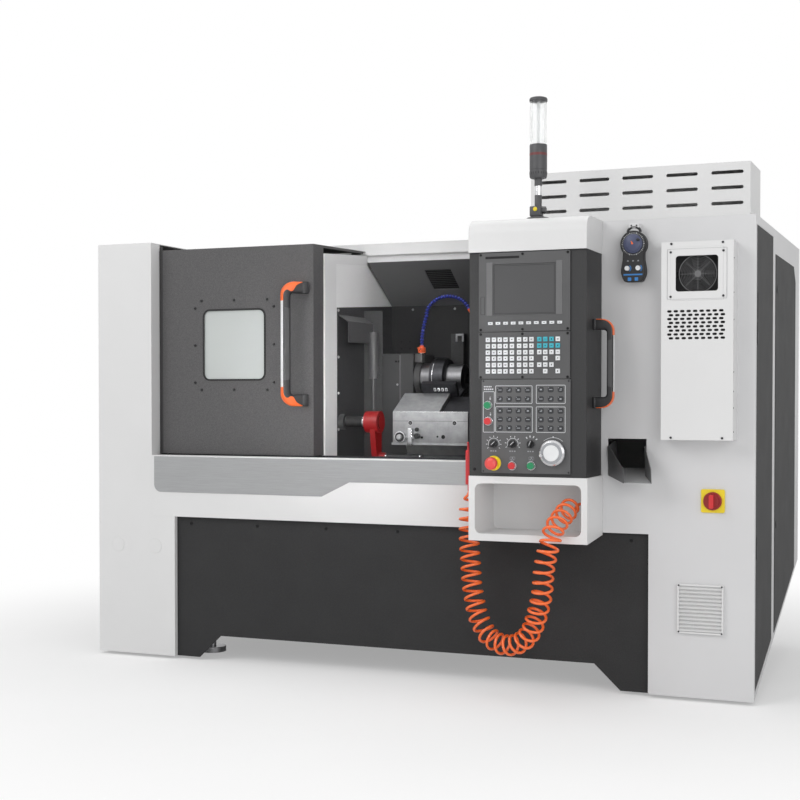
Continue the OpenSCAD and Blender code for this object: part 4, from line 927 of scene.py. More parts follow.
def button_trim():
    rings = Piece("button_rings", "panel", CHROME)
    for node in PUSH_BUTTONS:
        cx, cz = centre(node)
        rings.lathe([(12.7, 0), (17.4, 0), (17.4, 2.4), (15, 6), (12.7, 6), (12.7, 0)],
                    (cx, FACE, cz), FRONT, CHROME, 40)
    cx, cz = centre("estop_button")
    rings.lathe([(25.7, -0.1), (25.7, 3.4), (24.6, 4.6), (14, 4.6), (13.6, 4.2), (13.6, 3.1)],
                (cx, FACE, cz), FRONT, YELLOW)
    rings.done()
    for node, turn in (("left_selector", 48), ("middle_selector", 48), ("right_selector", 22)):
        cx, cz = centre(node)
        top = span(node)[0].y
        pointer = Piece(node + "_pointer", node, MARK_WHITE)
        pointer.box((-0.9, top - 0.35, -4), (0.9, top + 0.3, 12.5), MARK_WHITE, 0.15,
                    turned((cx, 0, cz), radians(turn), "Y"))
        pointer.done()
    cx, cz = centre("handwheel")
    at = (cx, FACE - 0.3, cz)
    face = Piece("handwheel_face", "handwheel", PALE_STRIP)
    face.lathe([(28, 23.4), (27.4, 27), (26, 28), (0, 28)], at, FRONT, PALE_STRIP)
    face.lathe([(43.6, 9), (44.4, 9.4), (44.4, 14.6), (43.6, 15)], at, FRONT, MARK_GREY)
    face.lathe([(27.6, 24), (27.6, 25), (31, 24.7), (37.4, 23.2), (37.4, 22.6)], at, FRONT, MARK_GREY)
    face.done()


display_trim()
key_caps()
lower_plate_trim()
button_trim()


# Signal lamp on the operator panel

def signal_lamp():
    lo, hi = span("signal_lamp")
    x, y, z = at = ((lo.x + hi.x) / 2, (lo.y + hi.y) / 2, lo.z)
    body = Piece("lamp_body", "panel", LAMP_GREY)
    # Foot with a hexagonal gland and a yellow cap, then the pole
    body.lathe([(41, 0), (41, 7), (38, 9.5), (26, 12), (20, 14), (0, 14)], at)
    body.box((x - 26, y - 21, z + 13), (x + 14, y + 19, z + 49), LAMP_GREY, 4)
    body.lathe([(13, 0), (13, 12), (10.5, 15), (0, 15)], (x + 13.5, y, z + 36), RIGHT, LAMP_GREY, 6)
    body.lathe([(7.4, 0), (7.4, 1.6), (6, 2.8), (0, 3)], (x - 5, y - 20.8, z + 38), FRONT, YELLOW)
    body.lathe([(12.6, 48), (12.6, 87), (12.2, 88)], at)
    body.lathe([(12, 86), (12, 122)], at, finish=CHROME)
    body.lathe([(12.6, 120), (13.4, 121), (13.4, 146)], at)
    # Base of the lamp, with a red band and ribs, and the cap
    body.lathe([(0, 145), (22, 145), (28, 147), (30.6, 153), (30.6, 173), (29.8, 174), (29.8, 176),
                (30.6, 177), (30.6, 225.5)], at)
    body.lathe([(30.6, 225), (30.9, 225.4), (30.9, 233.6), (30.6, 234)], at, finish=LAMP_RED)
    body.lathe([(30.6, 233.6), (30.6, 261), (29, 264), (0, 264)], at)
    for a in turns(20):
        body.box((30.2, -1.2, 160), (31.1, 1.2, 168), BLACK_PLASTIC, 0.2, turned(at, a, "Z"))
    body.lathe([(29, 413), (31.2, 414), (31.6, 416), (31.6, 421), (29, 425.5), (19, 428.6), (0, 429)], at)
    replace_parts(body.done(), "signal_lamp")
    lens = Piece("lamp_glass", "panel", LENS)
    lens.lathe([(30.6, 264.2), (30.6, 414), (28.6, 414), (28.6, 264.2), (30.6, 264.2)], at)
    lens.done()
    leds = Piece("lamp_leds", "panel", LED_BOARD)
    leds.box((x - 4, y - 4, z + 264), (x + 4, y + 4, z + 412), LED_BOARD, 1)
    for k in range(9):
        for a in turns(4):
            place = turned((x, y, z + 274 + 15 * k), a, "Z")
            leds.box((3.6, -2.2, -2.2), (5.4, 2.2, 2.2), KEY_WHITE, 0.6, place)
    leds.done()


signal_lamp()


# Right wall: hand pendant, cabinet cooler, main switch, latches and small screws

def pendant_trim():
    cx, cz = centre("pendant_wheel")
    front = span("pendant_body")[0].y
    back = -14
    head_r = 46

    def outline(inset):
        """The case from the front: a round head over a wider foot."""
        side = []
        for k in range(15):
            side.append(polar(0, 0, head_r - inset, radians(90 - 128 * k / 14)))
        for w, z in ((36.5, -44), (37, -56), (40, -72), (42.5, -88), (42.5, -100), (39, -113)):
            side.append((w - inset, z))
        side += [(32 - inset, -127 + inset), (26, -130 + inset)]
        return [(cx + w, cz + z) for w, z in side] + [(cx - w, cz + z) for w, z in reversed(side[1:])]

    case = Piece("pendant_case", "machine", SOFT_BLACK)
    case.plate(outline(1.5), back, 4, SOFT_BLACK)
    case.plate(outline(0), back - 3, back - front - 6, SOFT_BLACK)
    case.plate(outline(2.2), front + 3.2, 3.2, SOFT_BLACK)
    # Hanger at the wall
    strap = [Vector((cx + 22 * cos(a), back - 20, cz + 42 + 18 * sin(a)))
             for a in (pi * k / 16 for k in range(17))]
    case.rod(strap, 4.5, SOFT_BLACK, 10)
    case.box((cx - 18, back - 24, cz + 56), (cx + 18, back - 18, cz + 72), WALL_WHITE, 1.5)
    case.box((cx - 20, back - 19, cz - 30), (cx + 20, 0, cz + 71), WALL_WHITE, 1.5)
    for side in (-1, 1):
        case.lathe([(3, 0), (3, 0.6), (0, 0.4)], (cx + 9 * side, back - 24, cz + 64), FRONT, DARK_PARTS_AND_SHADE, 12)
    # Printed marks
    for k, a in enumerate(turns(40)):
        major = k % 4 == 0
        case.plate(tick(cx, cz, a, 35.4, 39 + major, 1.2 if major else 0.7), front, 0.3, MARK_WHITE)
    for x in (cx - 18, cx, cx + 18):
        case.plate([(x - 4, cz - 60), (x + 4, cz - 60), (x, cz - 55)], front, 0.3, MARK_GREY)
    for node in ("pendant_axis_knob", "pendant_step_knob"):
        case.plate(band(*centre(node), 10.4, 13, -55, 55, 12), front, 0.3, PRINT_BLUE)
    case.plate(round_rect(cx - 33, cz - 108, 66, 5, 1, 2), front, 0.3, PRINT_BLUE)
    for side in (-1, 1):
        case.plate(round_rect(cx + 12 * side - 6, cz - 127, 12, 12, 1.5, 2), front, 0.4, PRINT_BLUE)
    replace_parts(case.done(), "pendant_body")
    hand = Piece("pendant_dial", "pendant_wheel", ORANGE)
    at = (cx, front - 0.3, cz)
    dial_h = 14
    hand.lathe([(0, 0), (32, 0), (33, 1), (33, 5), (31, 7.4), (27.5, 8), (26.4, 11), (23, 12.6),
                (0, dial_h)], at, FRONT, WHEEL_BLUE)
    for a in turns(30):
        hand.box((32.4, -5, -1), (33.6, -1, 1), WHEEL_BLUE, 0.3, turned(at, a, "Y"))
    hand.lathe([(5, 8), (5, 18), (3.6, 20), (0, 20)], (cx + 20, at[1], cz + 12), FRONT, SOFT_BLACK, 20)
    spin = turned((cx, 0, cz), radians(-25), "Y")
    face = at[1] - dial_h
    hand.box((-1.6, face - 0.5, -1), (1.6, face + 0.8, 9), ORANGE, 0.3, spin)
    hand.box((-3, face - 0.6, -3), (3, face + 0.8, 3), ORANGE, 0.3, spin)
    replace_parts(hand.done(), "pendant_wheel")


def cooler_trim():
    lo, hi = span("heat_exchanger")
    fan_lo, fan_hi = span("exchanger_fan")
    cx, cz = centre("exchanger_fan")
    # Dark sheet behind the fan: painted shade inside the cooler
    inside = Piece("cooler_inside", "machine", COOLER_SHADE_SHEET)
    wall = 4
    liner_y = fan_hi.y + 3
    inside.box((lo.x + wall, liner_y, lo.z + wall), (hi.x - wall, liner_y + 1.5, hi.z - wall), COOLER_SHADE_SHEET, 0.4)
    guard_y = fan_lo.y - 2.5
    for k in range(11):
        ring = [(x, guard_y, z) for x, z in circle(cx, cz, 10 + 5.2 * k, 40)]
        inside.rod(ring, 0.7, GUARD_WIRE, 6, True)
    hub = Vector((cx, guard_y, cz))
    for k in range(4):
        a = radians(45 * k + 90)
        d = Vector((cos(a), 0, sin(a))) * 59
        inside.rod([hub - d, hub + d], 0.9, GUARD_WIRE, 6)
    inside.plate(circle(cx, cz, 64.5), guard_y + 1, 2, GUARD_WIRE, circle(cx, cz, 62))
    inside.lathe([(12, 0), (12, 1.4), (0, 1.6)], hub, FRONT, GUARD_WIRE, 24)
    inside.done()
    # Inner faces of the cooler's box painted near black: painted shade
    paint_faces("heat_exchanger", DARK_PARTS_AND_SHADE, lambda p: p.y > lo.y + wall and
                lo.x + wall < p.x < hi.x - wall and lo.z + wall < p.z < hi.z - wall)
    heads = Piece("cooler_screws", "machine", BLACK_STEEL_AND_SHADE)
    front = lo.y
    places = [(cx + 88 * i, front, cz + dz) for i in (-1, 1) for dz in (73, -77)]
    places += [(cx + 86 * i, front, z) for i in (-1, 1) for z in (cz + 101, lo.z + 8)]
    screws(heads, places, 8)
    for drop in (60, 175, 265, 440, 505, 560, 640):
        heads.lathe([(2.6, -0.2), (2.6, 1), (0, 1.4)], (hi.x, front + 8, hi.z - drop), RIGHT, BLACK_STEEL_AND_SHADE,
                    10)
    heads.done()
    seam = Piece("cooler_frame", "machine", SEAM_GREY)
    frame_line(seam, cx - 100, cz - 86, 200, 170, front, 1.0, 0.35, SEAM_GREY, 3)
    seam.done()


def rail_finish():
    """The upper rail is painted as the roof beam, the lower one is steel."""
    middle = centre("door_rails")[1]
    paint_faces("door_rails", WHITE, lambda p: p.z > middle)


def latch(piece, x, y, z, plate, bolt):
    """Recess of painted shade and bolt on a face to the right, each as width, low, high, lift and depth
    behind it.
    """
    for finish, rounding, sizes in ((DARK_PARTS_AND_SHADE, 0.6, plate), (BLACK_STEEL_AND_SHADE, 0.8, bolt)):
        w, low, high, lift, back = sizes
        piece.box((x - back, y - w / 2, z + low), (x + lift, y + w / 2, z + high), finish, rounding)


def wall_trim():
    plate_t = 6
    disc_t = 8
    knob_y = span("switch_plate")[0].y - disc_t - 1
    paint_faces("switch_plate", DEEP_RED, lambda p: p.y < -plate_t - 0.5)
    paint_faces("main_switch_knob", DEEP_RED, lambda p: p.y > knob_y)
    heads = Piece("cover_screws", "machine", BLACK_STEEL_AND_SHADE)
    lo, hi = span("vent_grille")
    corner = 5
    screws(heads, [(x, lo.y, z) for x in (lo.x + corner, hi.x - corner)
                   for z in (lo.z + corner, hi.z - corner)], 6)
    lo, hi = span("lower_panel")
    inset = 80
    screw_gap = (hi.x - lo.x - 2 * inset) / 6
    screws(heads, [(lo.x + inset + screw_gap * k, lo.y, hi.z - 42) for k in range(7)], 12, finish=DARK_PARTS_AND_SHADE)
    heads.done()
    # The chute's floor is painted a light grey: painted light on the lit floor
    floor_z = span("part_chute")[0].z + 4
    bend_y = -112
    rise = 0.18
    paint_faces("part_chute", PAINTED_LIGHT_ON_CHUTE, lambda p: p.z < floor_z + max(p.y - bend_y, 0) * rise)
    latches = Piece("side_latches", "machine", DARK_PARTS_AND_SHADE)
    lo, hi = span("side_rear_cover")
    for z in (1432, 560):
        latch(latches, hi.x, lo.y + 32, z, (12, -13, 13, 1.4, 0.5), (6, -6, 6, 3, 0))
    latches.done()
    lo, hi = span("cabinet_door")
    grip = Piece("cabinet_latch", "cabinet_door", DARK_PARTS_AND_SHADE)
    for z in (1250, 520):
        latch(grip, hi.x, lo.y + 16, z, (12, -39, 39, 1.2, 0.5), (6, -34, 4, 2.4, 0))
    grip.done()


pendant_trim()
cooler_trim()
rail_finish()
wall_trim()


# Work area: spindle cover, coolant valve, tool block fittings, catcher, guard and ceiling vent

chuck_lo, chuck_hi = span("collet_chuck")
SPINDLE_Y = (chuck_lo.y + chuck_hi.y) / 2
SPINDLE_Z = (chuck_lo.z + chuck_hi.z) / 2
HEAD_R = span("headstock")[1].x


def around_spindle(x, r, count, first=0.0):
    """Places on a circle around the spindle's axis."""
    return [(x, *polar(SPINDLE_Y, SPINDLE_Z, r, a)) for a in turns(count, first)]


def spindle_trim():
    chuck_w = 66
    shoulder = chuck_lo.x + chuck_w
    # The chuck's sleeve gets the darker steel: painted shade
    paint_faces("collet_chuck", SHADED_SPINDLE_STEEL, lambda p: shoulder + 0.5 < p.x < chuck_hi.x - 9 and
                hypot(p.y - SPINDLE_Y, p.z - SPINDLE_Z) > 36)
    cover = Piece("spindle_cover", "machine", GUARD_BLACK)
    cover.lathe([(63.5, 0), (71, 0), (71, 22), (69, 25), (64, 25), (63.5, 0)],
                (HEAD_R, SPINDLE_Y, SPINDLE_Z), RIGHT, GUARD_BLACK, 64)
    screws(cover, around_spindle(HEAD_R, 84, 8, 0.5), 8, RIGHT, BLACK_STEEL_AND_SHADE)
    cover.done()
    rim = Piece("chuck_trim", "spindle", BLACK_STEEL_AND_SHADE)
    r = (chuck_hi.z - chuck_lo.z) / 2
    rim.lathe([(r - 1, 12), (r + 0.6, 13), (r + 0.6, 15), (r - 1, 16)],
              (chuck_lo.x, SPINDLE_Y, SPINDLE_Z), RIGHT, CHROME)
    screws(rim, around_spindle(shoulder, r - 16, 6), 9, RIGHT, BLACK_STEEL_AND_SHADE)
    rim.done()
    plates = Piece("headstock_screws", "machine", STEEL)
    front = span("headstock")[0].y
    face = front + 8
    screws(plates, [(1087, face, 1180), (1100, face, 1180)], 9, finish=DARK_PARTS_AND_SHADE)
    screws(plates, [(1094, face, 1085), (1094, face, 960)], 9)
    plates.box((1106, front - 1, 900), (1113, front + 4, 1206), SEAM_DARK, 1)
    plates.done()


def coolant_trim():
    head_lo, head_hi = span("headstock")
    head_top = head_hi.z
    x = HEAD_R + 25
    y = head_lo.y + 32
    stub_z = head_top + 34
    pitch = 11
    stem_n = 11
    lean = 20
    stem_z = stub_z + stem_n * pitch
    bow_x = 95
    bow_z = 78
    bow_turn = 160
    bow_n = 22
    route = [Vector((x + lean * (i / stem_n) ** 2, y, stub_z + i * pitch)) for i in range(stem_n + 1)]
    for i in range(1, bow_n + 1):
        a = radians(i * bow_turn / bow_n)
        route.append(Vector((x + lean + bow_x * (1 - cos(a)), y, stem_z + bow_z * sin(a))))
    beads = Piece("hose_beads", "machine", BLUE)
    bead_count = 31
    middle = resample(route, bead_count)
    for i, p in enumerate(middle):
        along = middle[min(i + 1, bead_count - 1)] - middle[max(i - 1, 0)]
        beads.lathe([(4, -5.2), (6.4, -3.8), (7.8, -1.2), (7.6, 1.8), (5.6, 3.8), (4, 4.4)], p, along,
                    BLUE, 20)
        # Dark waist between the beads: painted shade in the grooves
        beads.lathe([(4, 4.2), (3.8, 9)], p, along, HOSE_SHADE, 20)
    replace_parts(beads.done(), "coolant_hose")
    valve = Piece("coolant_valve", "machine", VALVE_ORANGE)
    valve.box((HEAD_R, y - 16, head_top - 36), (HEAD_R + 32, y + 16, head_top), HOOD_GREY, 2)
    valve.box((x - 14, y - 12, head_top + 3), (x + 14, y + 12, head_top + 27), VALVE_ORANGE, 4)
    valve.lathe([(9, 0), (9, 6), (7, 9), (0, 9)], (x, y, head_top + 26), UP, VALVE_ORANGE, 20)
    lever = turned((x, y - 13, head_top + 15), radians(40), "Y")
    valve.box((-15, -9, -4), (15, 0, 4), VALVE_ORANGE, 2.5, lever)
    valve.box((-1, -9.6, -9), (1, -8.6, 9), DARK_PARTS_AND_SHADE, 0.3, lever)
    valve.lathe([(7, 0), (7, 5), (0, 5)], (x, y, head_top - 1), UP, STEEL, 6)
    tip = route[-1]
    valve.lathe([(7, 0), (7, 8), (4.4, 24), (3.4, 26), (2.4, 26), (2.4, 18), (0, 18)], tip,
                tip - route[-2], VALVE_ORANGE, 20)
    valve.done()


def tool_block_trim():
    left = HEAD_R + 4
    low = SPINDLE_Z - 265
    y = SPINDLE_Y - 300
    width = 315
    top = 976
    face = y - 1.6
    block = Piece("tool_block_front", "tool_slide", TOOL_GREY)
    block.box((left, face, low + 9), (left + width, y + 4, top), TOOL_GREY, 0.8)
    block.box((left + 0.5, y - 1.8, top - 37.4), (left + width - 0.5, y - 1, top - 36), SEAM_DARK)
    block.box((left, y - 1.9, top - 2.2), (left + width, y + 2, top + 0.4), CHROME, 0.5)
    # Bolts and small holes; the dark discs in the counterbores and the holes are painted shade
    bolt_z = 932
    for x in (left + 75, left + 260):
        block.lathe([(10, 0), (10, 0.5), (8, 0.7), (8, 0)], (x, face, bolt_z), FRONT, STEEL, 24)
        block.lathe([(8, 0), (8, 0.4), (0, 0.4)], (x, face, bolt_z), FRONT, DARK_PARTS_AND_SHADE, 24)
        block.lathe([(5, 0), (5, 0.9), (3, 1), (0, 0.6)], (x - 0.5, y - 1.8, bolt_z - 0.5), FRONT,
                    SEAM_DARK, 6)
    for x, z, r in ((1296, 875, 4), (1361, 879, 3), (1385, 878, 7)):
        block.lathe([(r + 1, 0), (r + 1, 0.5), (r, 0.6), (0, 0.3)], (x, face, z), FRONT, DARK_PARTS_AND_SHADE, 16)
    # Knob, clamp lever and two fittings beside it
    knob = (left + 34, face, low + 31)
    block.lathe([(24, 0), (24, 9), (22.4, 12), (19, 12.4), (18.8, 11)], knob, FRONT, CHROME)
    block.lathe([(19, 11), (19, 13), (11, 13), (10.6, 12)], knob, FRONT, BLACK_PLASTIC)
    block.lathe([(11, 12), (10.8, 20.6), (9, 23), (0, 23.6)], knob, FRONT, STEEL)
    lever_x = left + 80
    lever_half = 9.4
    block.box((lever_x - lever_half, y - 24, low - 1.5), (lever_x + lever_half, y - 1, low + 66), CHROME,
              2.5)
    for side in (LEFT, RIGHT):
        block.lathe([(6, 0), (6, 9), (4, 11), (0, 11)], (lever_x + 9 * side[0], y - 13, low + 31),
                    side, STEEL, 6)
    block.lathe([(8, 0), (11, 2), (11, 20), (8, 23), (0, 23)], (lever_x + 27, y - 2, low + 36),
                FRONT, BLACK_PLASTIC, 24)
    block.lathe([(7, 0), (8.4, 2), (8.4, 12), (6, 14), (0, 14)], (lever_x + 26, y - 2, low + 61),
                FRONT, BLACK_PLASTIC, 20)
    block.done()
    # Painted shade on the top of the slide beside the block, and the holder's screws on its slant
    slope = radians(30)
    axis = Vector((0, SPINDLE_Y, SPINDLE_Z))
    up = Vector((0, -sin(slope), cos(slope)))
    ahead = Vector((0, cos(slope), sin(slope)))
    paint_faces("cross_slide", BLACK_STEEL_AND_SHADE, lambda p: p.x > left + 196 and (p - axis).dot(up) > 12 and
                p.y > y + 3)
    seat = axis - 182 * ahead + 52 * up
    first_x = span("tool_holder")[0].x + 56
    holder = Piece("holder_screws", "tool_slide", KEY_WHITE)
    for k in range(4):
        place = turned(seat + Vector((first_x + 16.2 * k, 0, 0)), slope, "X")
        holder.box((-4.9, -3.4, -7), (4.9, 0.6, 7), KEY_WHITE, 1.2, place)
        # Dark dot in each set screw: painted shade in its socket
        holder.box((-2.2, -3.7, -3.4), (2.2, -3, 2.4), DARK_PARTS_AND_SHADE, 0.2, place)
    holder.done()


def catcher_trim():
    start = span("catcher_arm")[0].x
    hub_y = 296
    hub_z = 935
    hub_l = start + 116.7
    hub_r = hub_l + 58
    boss_end = hub_l + 72
    paint_faces("catcher_arm", BLACK_PLASTIC, lambda p: p.x > boss_end + 1)
    paint_faces("catcher_arm", REAR_SHADE_AND_SLEEVE_BLACK, lambda p: p.x < hub_l - 1)
    sleeve = Piece("catcher_sleeve", "catcher", REAR_SHADE_AND_SLEEVE_BLACK)
    at = (start, hub_y, hub_z)
    sleeve.lathe([(20.6, 27), (21.6, 28), (21.6, 104), (20.6, 105)], at, RIGHT, REAR_SHADE_AND_SLEEVE_BLACK)
    sleeve.lathe([(20.4, 103), (27, 104), (27, 115), (25, 117), (20.4, 117)], at, RIGHT, CHROME)
    # Slot in the hub drawn as a dark rod: painted shade
    arc = [radians(120 + 130 * k / 16) for k in range(17)]
    slot = [(hub_r + 0.2, *polar(hub_y, hub_z, 27, a)) for a in arc]
    sleeve.rod(slot, 1.5, DARK_PARTS_AND_SHADE, 8)
    rod_y = hub_y + 16
    rod_z = hub_z - 137
    for x in (boss_end + 6, boss_end + 60, boss_end + 118):
        sleeve.lathe([(8.2, 0), (9.6, 1), (9.6, 24), (8.2, 25)], (x, rod_y, rod_z), RIGHT, BLACK_PLASTIC,
                     24)
    for x in (boss_end, boss_end + 146):
        sleeve.lathe([(8.2, 0), (10.4, 1), (10.4, 6), (8.2, 7)], (x, rod_y, rod_z), RIGHT, CHROME, 24)
    sleeve.done()


def guard_trim():
    guard_x = 949
    heads = Piece("guard_screws", "machine", STEEL)
    screws(heads, [(guard_x, 266, z) for z in (1379, 1193, 1049, 904)], 11, RIGHT, STEEL, 5)
    rear = span("splash_guard")[1].y - 3
    # The guard's rear faces get the darker paint: painted shade at the back of the work area
    paint_faces("splash_guard", REAR_SHADE_AND_SLEEVE_BLACK, lambda p: p.y > rear - 12)
    screws(heads, [(x, rear, 1411) for x in (1047, 1240, 1440)], 10)
    # Dark discs for small holes in the rear guard: painted shade
    for x in (993, 1033):
        for z in (1273, 1243):
            heads.lathe([(4, 0), (4, 0.6), (0, 0.5)], (x, rear, z), FRONT, DARK_PARTS_AND_SHADE, 12)
    heads.done()
    lo, hi = span("ceiling_panel")
    vent_x = 1238
    vent_y = 678
    half = 58
    fall = (hi.z - lo.z) / (hi.y - lo.y)
    tilt = atan(fall)
    place = turned((vent_x, vent_y, hi.z - fall * (vent_y - lo.y)), -tilt, "X")
    reach = half / cos(tilt)
    vent = Piece("ceiling_vent", "machine", DARK_PARTS_AND_SHADE)
    # Dark plate behind the slats: painted shade in the vent
    vent.box((-half - 4, -reach - 4, 5), (half + 4, reach + 4, 7), DARK_PARTS_AND_SHADE, 0.4, place)
    for k in range(11):
        y = reach * (k - 5) / 5.5
        vent.box((-half + 0.5, y - 1.6, 0.5), (half - 0.5, y + 1.6, 2.4), GUARD_BLACK, 0.4, place)
    vent.done()
    hook = Piece("rear_bracket", "machine", SILVER_PLASTIC)
    y = rear - 46
    for x in (1262, 1290):
        hook.box((x, y - 6, 1268), (x + 8, y + 2, 1300), SILVER_PLASTIC, 1.5)
    hook.box((1262, y - 6, 1292), (1298, y + 2, 1301), SILVER_PLASTIC, 1.5)
    hook.done()


spindle_trim()
coolant_trim()
tool_block_trim()
catcher_trim()
guard_trim()


# Electrical cabinet: finishes of the devices, with wiring ducts, terminal screws and wires

def cabinet_trim():
    lo, hi = span("electrics_plate")
    rows = 5
    columns = 6
    pitch_y = 64
    pitch_z = (hi.z - lo.z - 40) / rows
    device_w = 56
    device_h = 130
    depths = (110, 70, 90, 130, 60, 100)
    plate_front = lo.x + 20 + 3
    first_y = lo.y + 20
    first_z = lo.z + 40

    def kind(p):
        """Which of four finishes the device at a point has."""
        return (int((p.y - first_y + 4) // pitch_y) + 2 * int((p.z - first_z + 4) // pitch_z)) % 4

    paint_faces("electrics_plate", STAINLESS, lambda p: p.x < plate_front + 0.5)
    for number, finish in enumerate((BLACK_PLASTIC, SILVER_PLASTIC, MARK_GREY)):
        paint_faces("electrics_plate", finish,
                    lambda p: p.x > plate_front + 0.5 and kind(p) == number)
    wiring = Piece("cabinet_wiring", "machine", SILVER_PLASTIC)
    duct_end = first_y + columns * pitch_y
    duct_front = plate_front + 52
    duct_slots = 31
    for r in range(rows):
        z = first_z + pitch_z * r
        top = z + device_h
        duct_low = top + 9
        duct_high = z + pitch_z - 4
        wiring.box((plate_front - 0.5, first_y - 6, duct_low), (duct_front, duct_end, duct_high),
                   SILVER_PLASTIC, 1.5)
        wiring.box((duct_front - 5, first_y - 7, duct_low - 1.2),
                   (duct_front + 1.5, duct_end + 1, duct_high + 1.2), SILVER_PLASTIC, 1.2)
        # Slots in the duct's lid as dark strips: painted shade
        for k in range(duct_slots):
            y = first_y + (duct_end - first_y) * k / duct_slots
            wiring.box((plate_front + 8, y, duct_low - 0.3), (duct_front - 8, y + 5, duct_low + 2),
                       DARK_PARTS_AND_SHADE)
        for i in range(columns):
            y = first_y + pitch_y * i
            front = plate_front + depths[(i + r) % columns]
            light = i % 2
            wiring.box((front - 0.5, y + 8, z + 44), (front + 3, y + device_w - 8, z + 88),
                       LED_BOARD if light else BLACK_PLASTIC, 1.4)
            wiring.box((front + 2, y + 22, z + 58), (front + 7, y + 34, z + 76),
                       BLACK_PLASTIC if light else SILVER_PLASTIC, 1.5)
            for k in range(3):
                across = y + 12 + 16 * k
                for level in (z + 14, top - 14):
                    wiring.lathe([(5, -0.2), (5, 0.6), (4, 0.6), (3.6, -0.1), (0, -0.1)],
                                 (front, across, level), RIGHT, STEEL, 12)
                wire_x = front - 12
                duct_x = plate_front + 34
                bend = [(wire_x, across, top - 1), (wire_x, across, top + 4),
                        ((wire_x + duct_x) / 2, across, top + 6),
                        (duct_x, across, top + 8), (duct_x, across, top + 12)]
                wiring.rod(resample(bend, 12), 1.7, BLACK_PLASTIC if (i + k) % 3 else BLUE, 8)
    wiring.done()


# Outer covers that the picture doesn't show: seams, screws, louvres and cable entry

def louvre(piece, place, half):
    """Pressed slat over a slit of painted shade; the place's own Y leads out of the cover."""
    slit = half - 4
    piece.box((-half, -2, -7), (half, 5, 7), WHITE, 3.2, place)
    piece.box((-slit, -1, -10.5), (slit, 0.8, -7), DARK_PARTS_AND_SHADE, 0.3, place)


def cover_trim():
    lo, hi = span("rear_cover")
    panels = 3
    edge = 34
    width = (hi.x - lo.x) / panels
    fittings = Piece("rear_fittings", "machine", SEAM_GREY)
    y = hi.y
    for k in range(1, panels):
        x = lo.x + width * k
        fittings.box((x - 1.2, y - 0.5, lo.z + 4), (x + 1.2, y + 0.3, hi.z - 4), SEAM_GREY)
    places = []
    for k in range(panels):
        left = lo.x + width * k
        places += [(left + edge + (width - 2 * edge) * i / 4, y, z)
                   for i in range(5) for z in (lo.z + edge, hi.z - edge)]
        places += [(x, y, lo.z + (hi.z - lo.z) * i / 4)
                   for x in (left + edge, left + width - edge) for i in (1, 2, 3)]
    screws(fittings, places, 11, BACK, BLACK_STEEL_AND_SHADE)
    for x in (lo.x + width * 1.5 - 170, lo.x + width * 1.5 + 170):
        for k in range(12):
            louvre(fittings, Matrix.Translation((x, y, lo.z + 190 + 30 * k)), 130)
    entry_x, entry_z = lo.x + width * 2.72, lo.z + 150
    fittings.box((entry_x - 110, y - 1, entry_z - 60), (entry_x + 110, y + 2.4, entry_z + 60), BLACK_STEEL_AND_SHADE,
                 1)
    for k in range(4):
        at = (entry_x - 72 + 48 * k, y + 2.4, entry_z)
        fittings.lathe([(18, 0), (18, 4), (15, 5), (14, 8), (9, 8.4), (8, 4), (0, 4)], at, BACK,
                       BLACK_PLASTIC, 24)
    fittings.done()


def side_trim():
    lo, hi = span("left_side_cover")
    x = lo.x
    edge = 40
    bore = 40
    fittings = Piece("left_fittings", "machine", SEAM_GREY)
    seam_y = (lo.y + hi.y) / 2 + 160
    rise = (span("rear_cover")[0].z - lo.z) / (hi.y - lo.y)
    low = lo.z + rise * (seam_y - lo.y) + 6
    fittings.box((x - 0.3, seam_y - 1.2, low), (x + 0.5, seam_y + 1.2, hi.z - 4), SEAM_GREY)
    fittings.lathe([(bore, 0), (bore + 24, 0), (bore + 24, 4), (bore + 21, 6), (bore + 1, 6), (bore, 0)],
                   (x, SPINDLE_Y, SPINDLE_Z), LEFT, STEEL, 56)
    screws(fittings, around_spindle(x - 6, bore + 12, 6, 0.5), 9, LEFT, BLACK_STEEL_AND_SHADE)
    places = [(x, y, z) for y in (lo.y + edge, seam_y - edge, seam_y + edge, hi.y - edge)
              for z in (hi.z - edge, 1320, 1000, 680, 460)]
    screws(fittings, places, 11, LEFT, BLACK_STEEL_AND_SHADE)
    for k in range(10):
        louvre(fittings, turned((x, (lo.y + seam_y) / 2, 520 + 28 * k), tau / 4, "Z"), 150)
    fittings.done()


def roof_trim():
    lo, hi = span("rear_cover")
    roof_z = span("left_side_cover")[1].z
    fittings = Piece("roof_fittings", "machine", SEAM_GREY)
    back = hi.y
    vent_lo, vent_hi = span("vent_box")
    for x in (lo.x + 620, lo.x + 1390):
        fittings.box((x - 1.2, 620, roof_z - 0.5), (x + 1.2, back - 6, roof_z + 0.3), SEAM_GREY)
    places = [(lo.x + 60 + (hi.x - lo.x - 120) * k / 9, back - 36, roof_z) for k in range(10)]
    screws(fittings, places, 11, UP, BLACK_STEEL_AND_SHADE)
    for x in (lo.x + 150, lo.x + 1150):
        for y in (760, back - 150):
            fittings.lathe([(27, 0), (27, 3), (24, 5), (11, 5), (10, 2), (0, 2)], (x, y, roof_z), UP,
                           BLACK_PLASTIC, 32)
    slot_half = 56
    slot_h = 12
    y = vent_hi.y
    # Slots in the vent box as dark strips on its face: painted shade
    for k in range(5):
        for z in (62, 117, 171):
            x = (vent_lo.x + vent_hi.x) / 2 + 160 * (k - 2)
            low = vent_lo.z + z - slot_h / 2
            fittings.box((x - slot_half, y - 0.4, low), (x + slot_half, y + 0.4, low + slot_h), DARK_PARTS_AND_SHADE)
    fittings.done()


cabinet_trim()
cover_trim()
side_trim()
roof_trim()


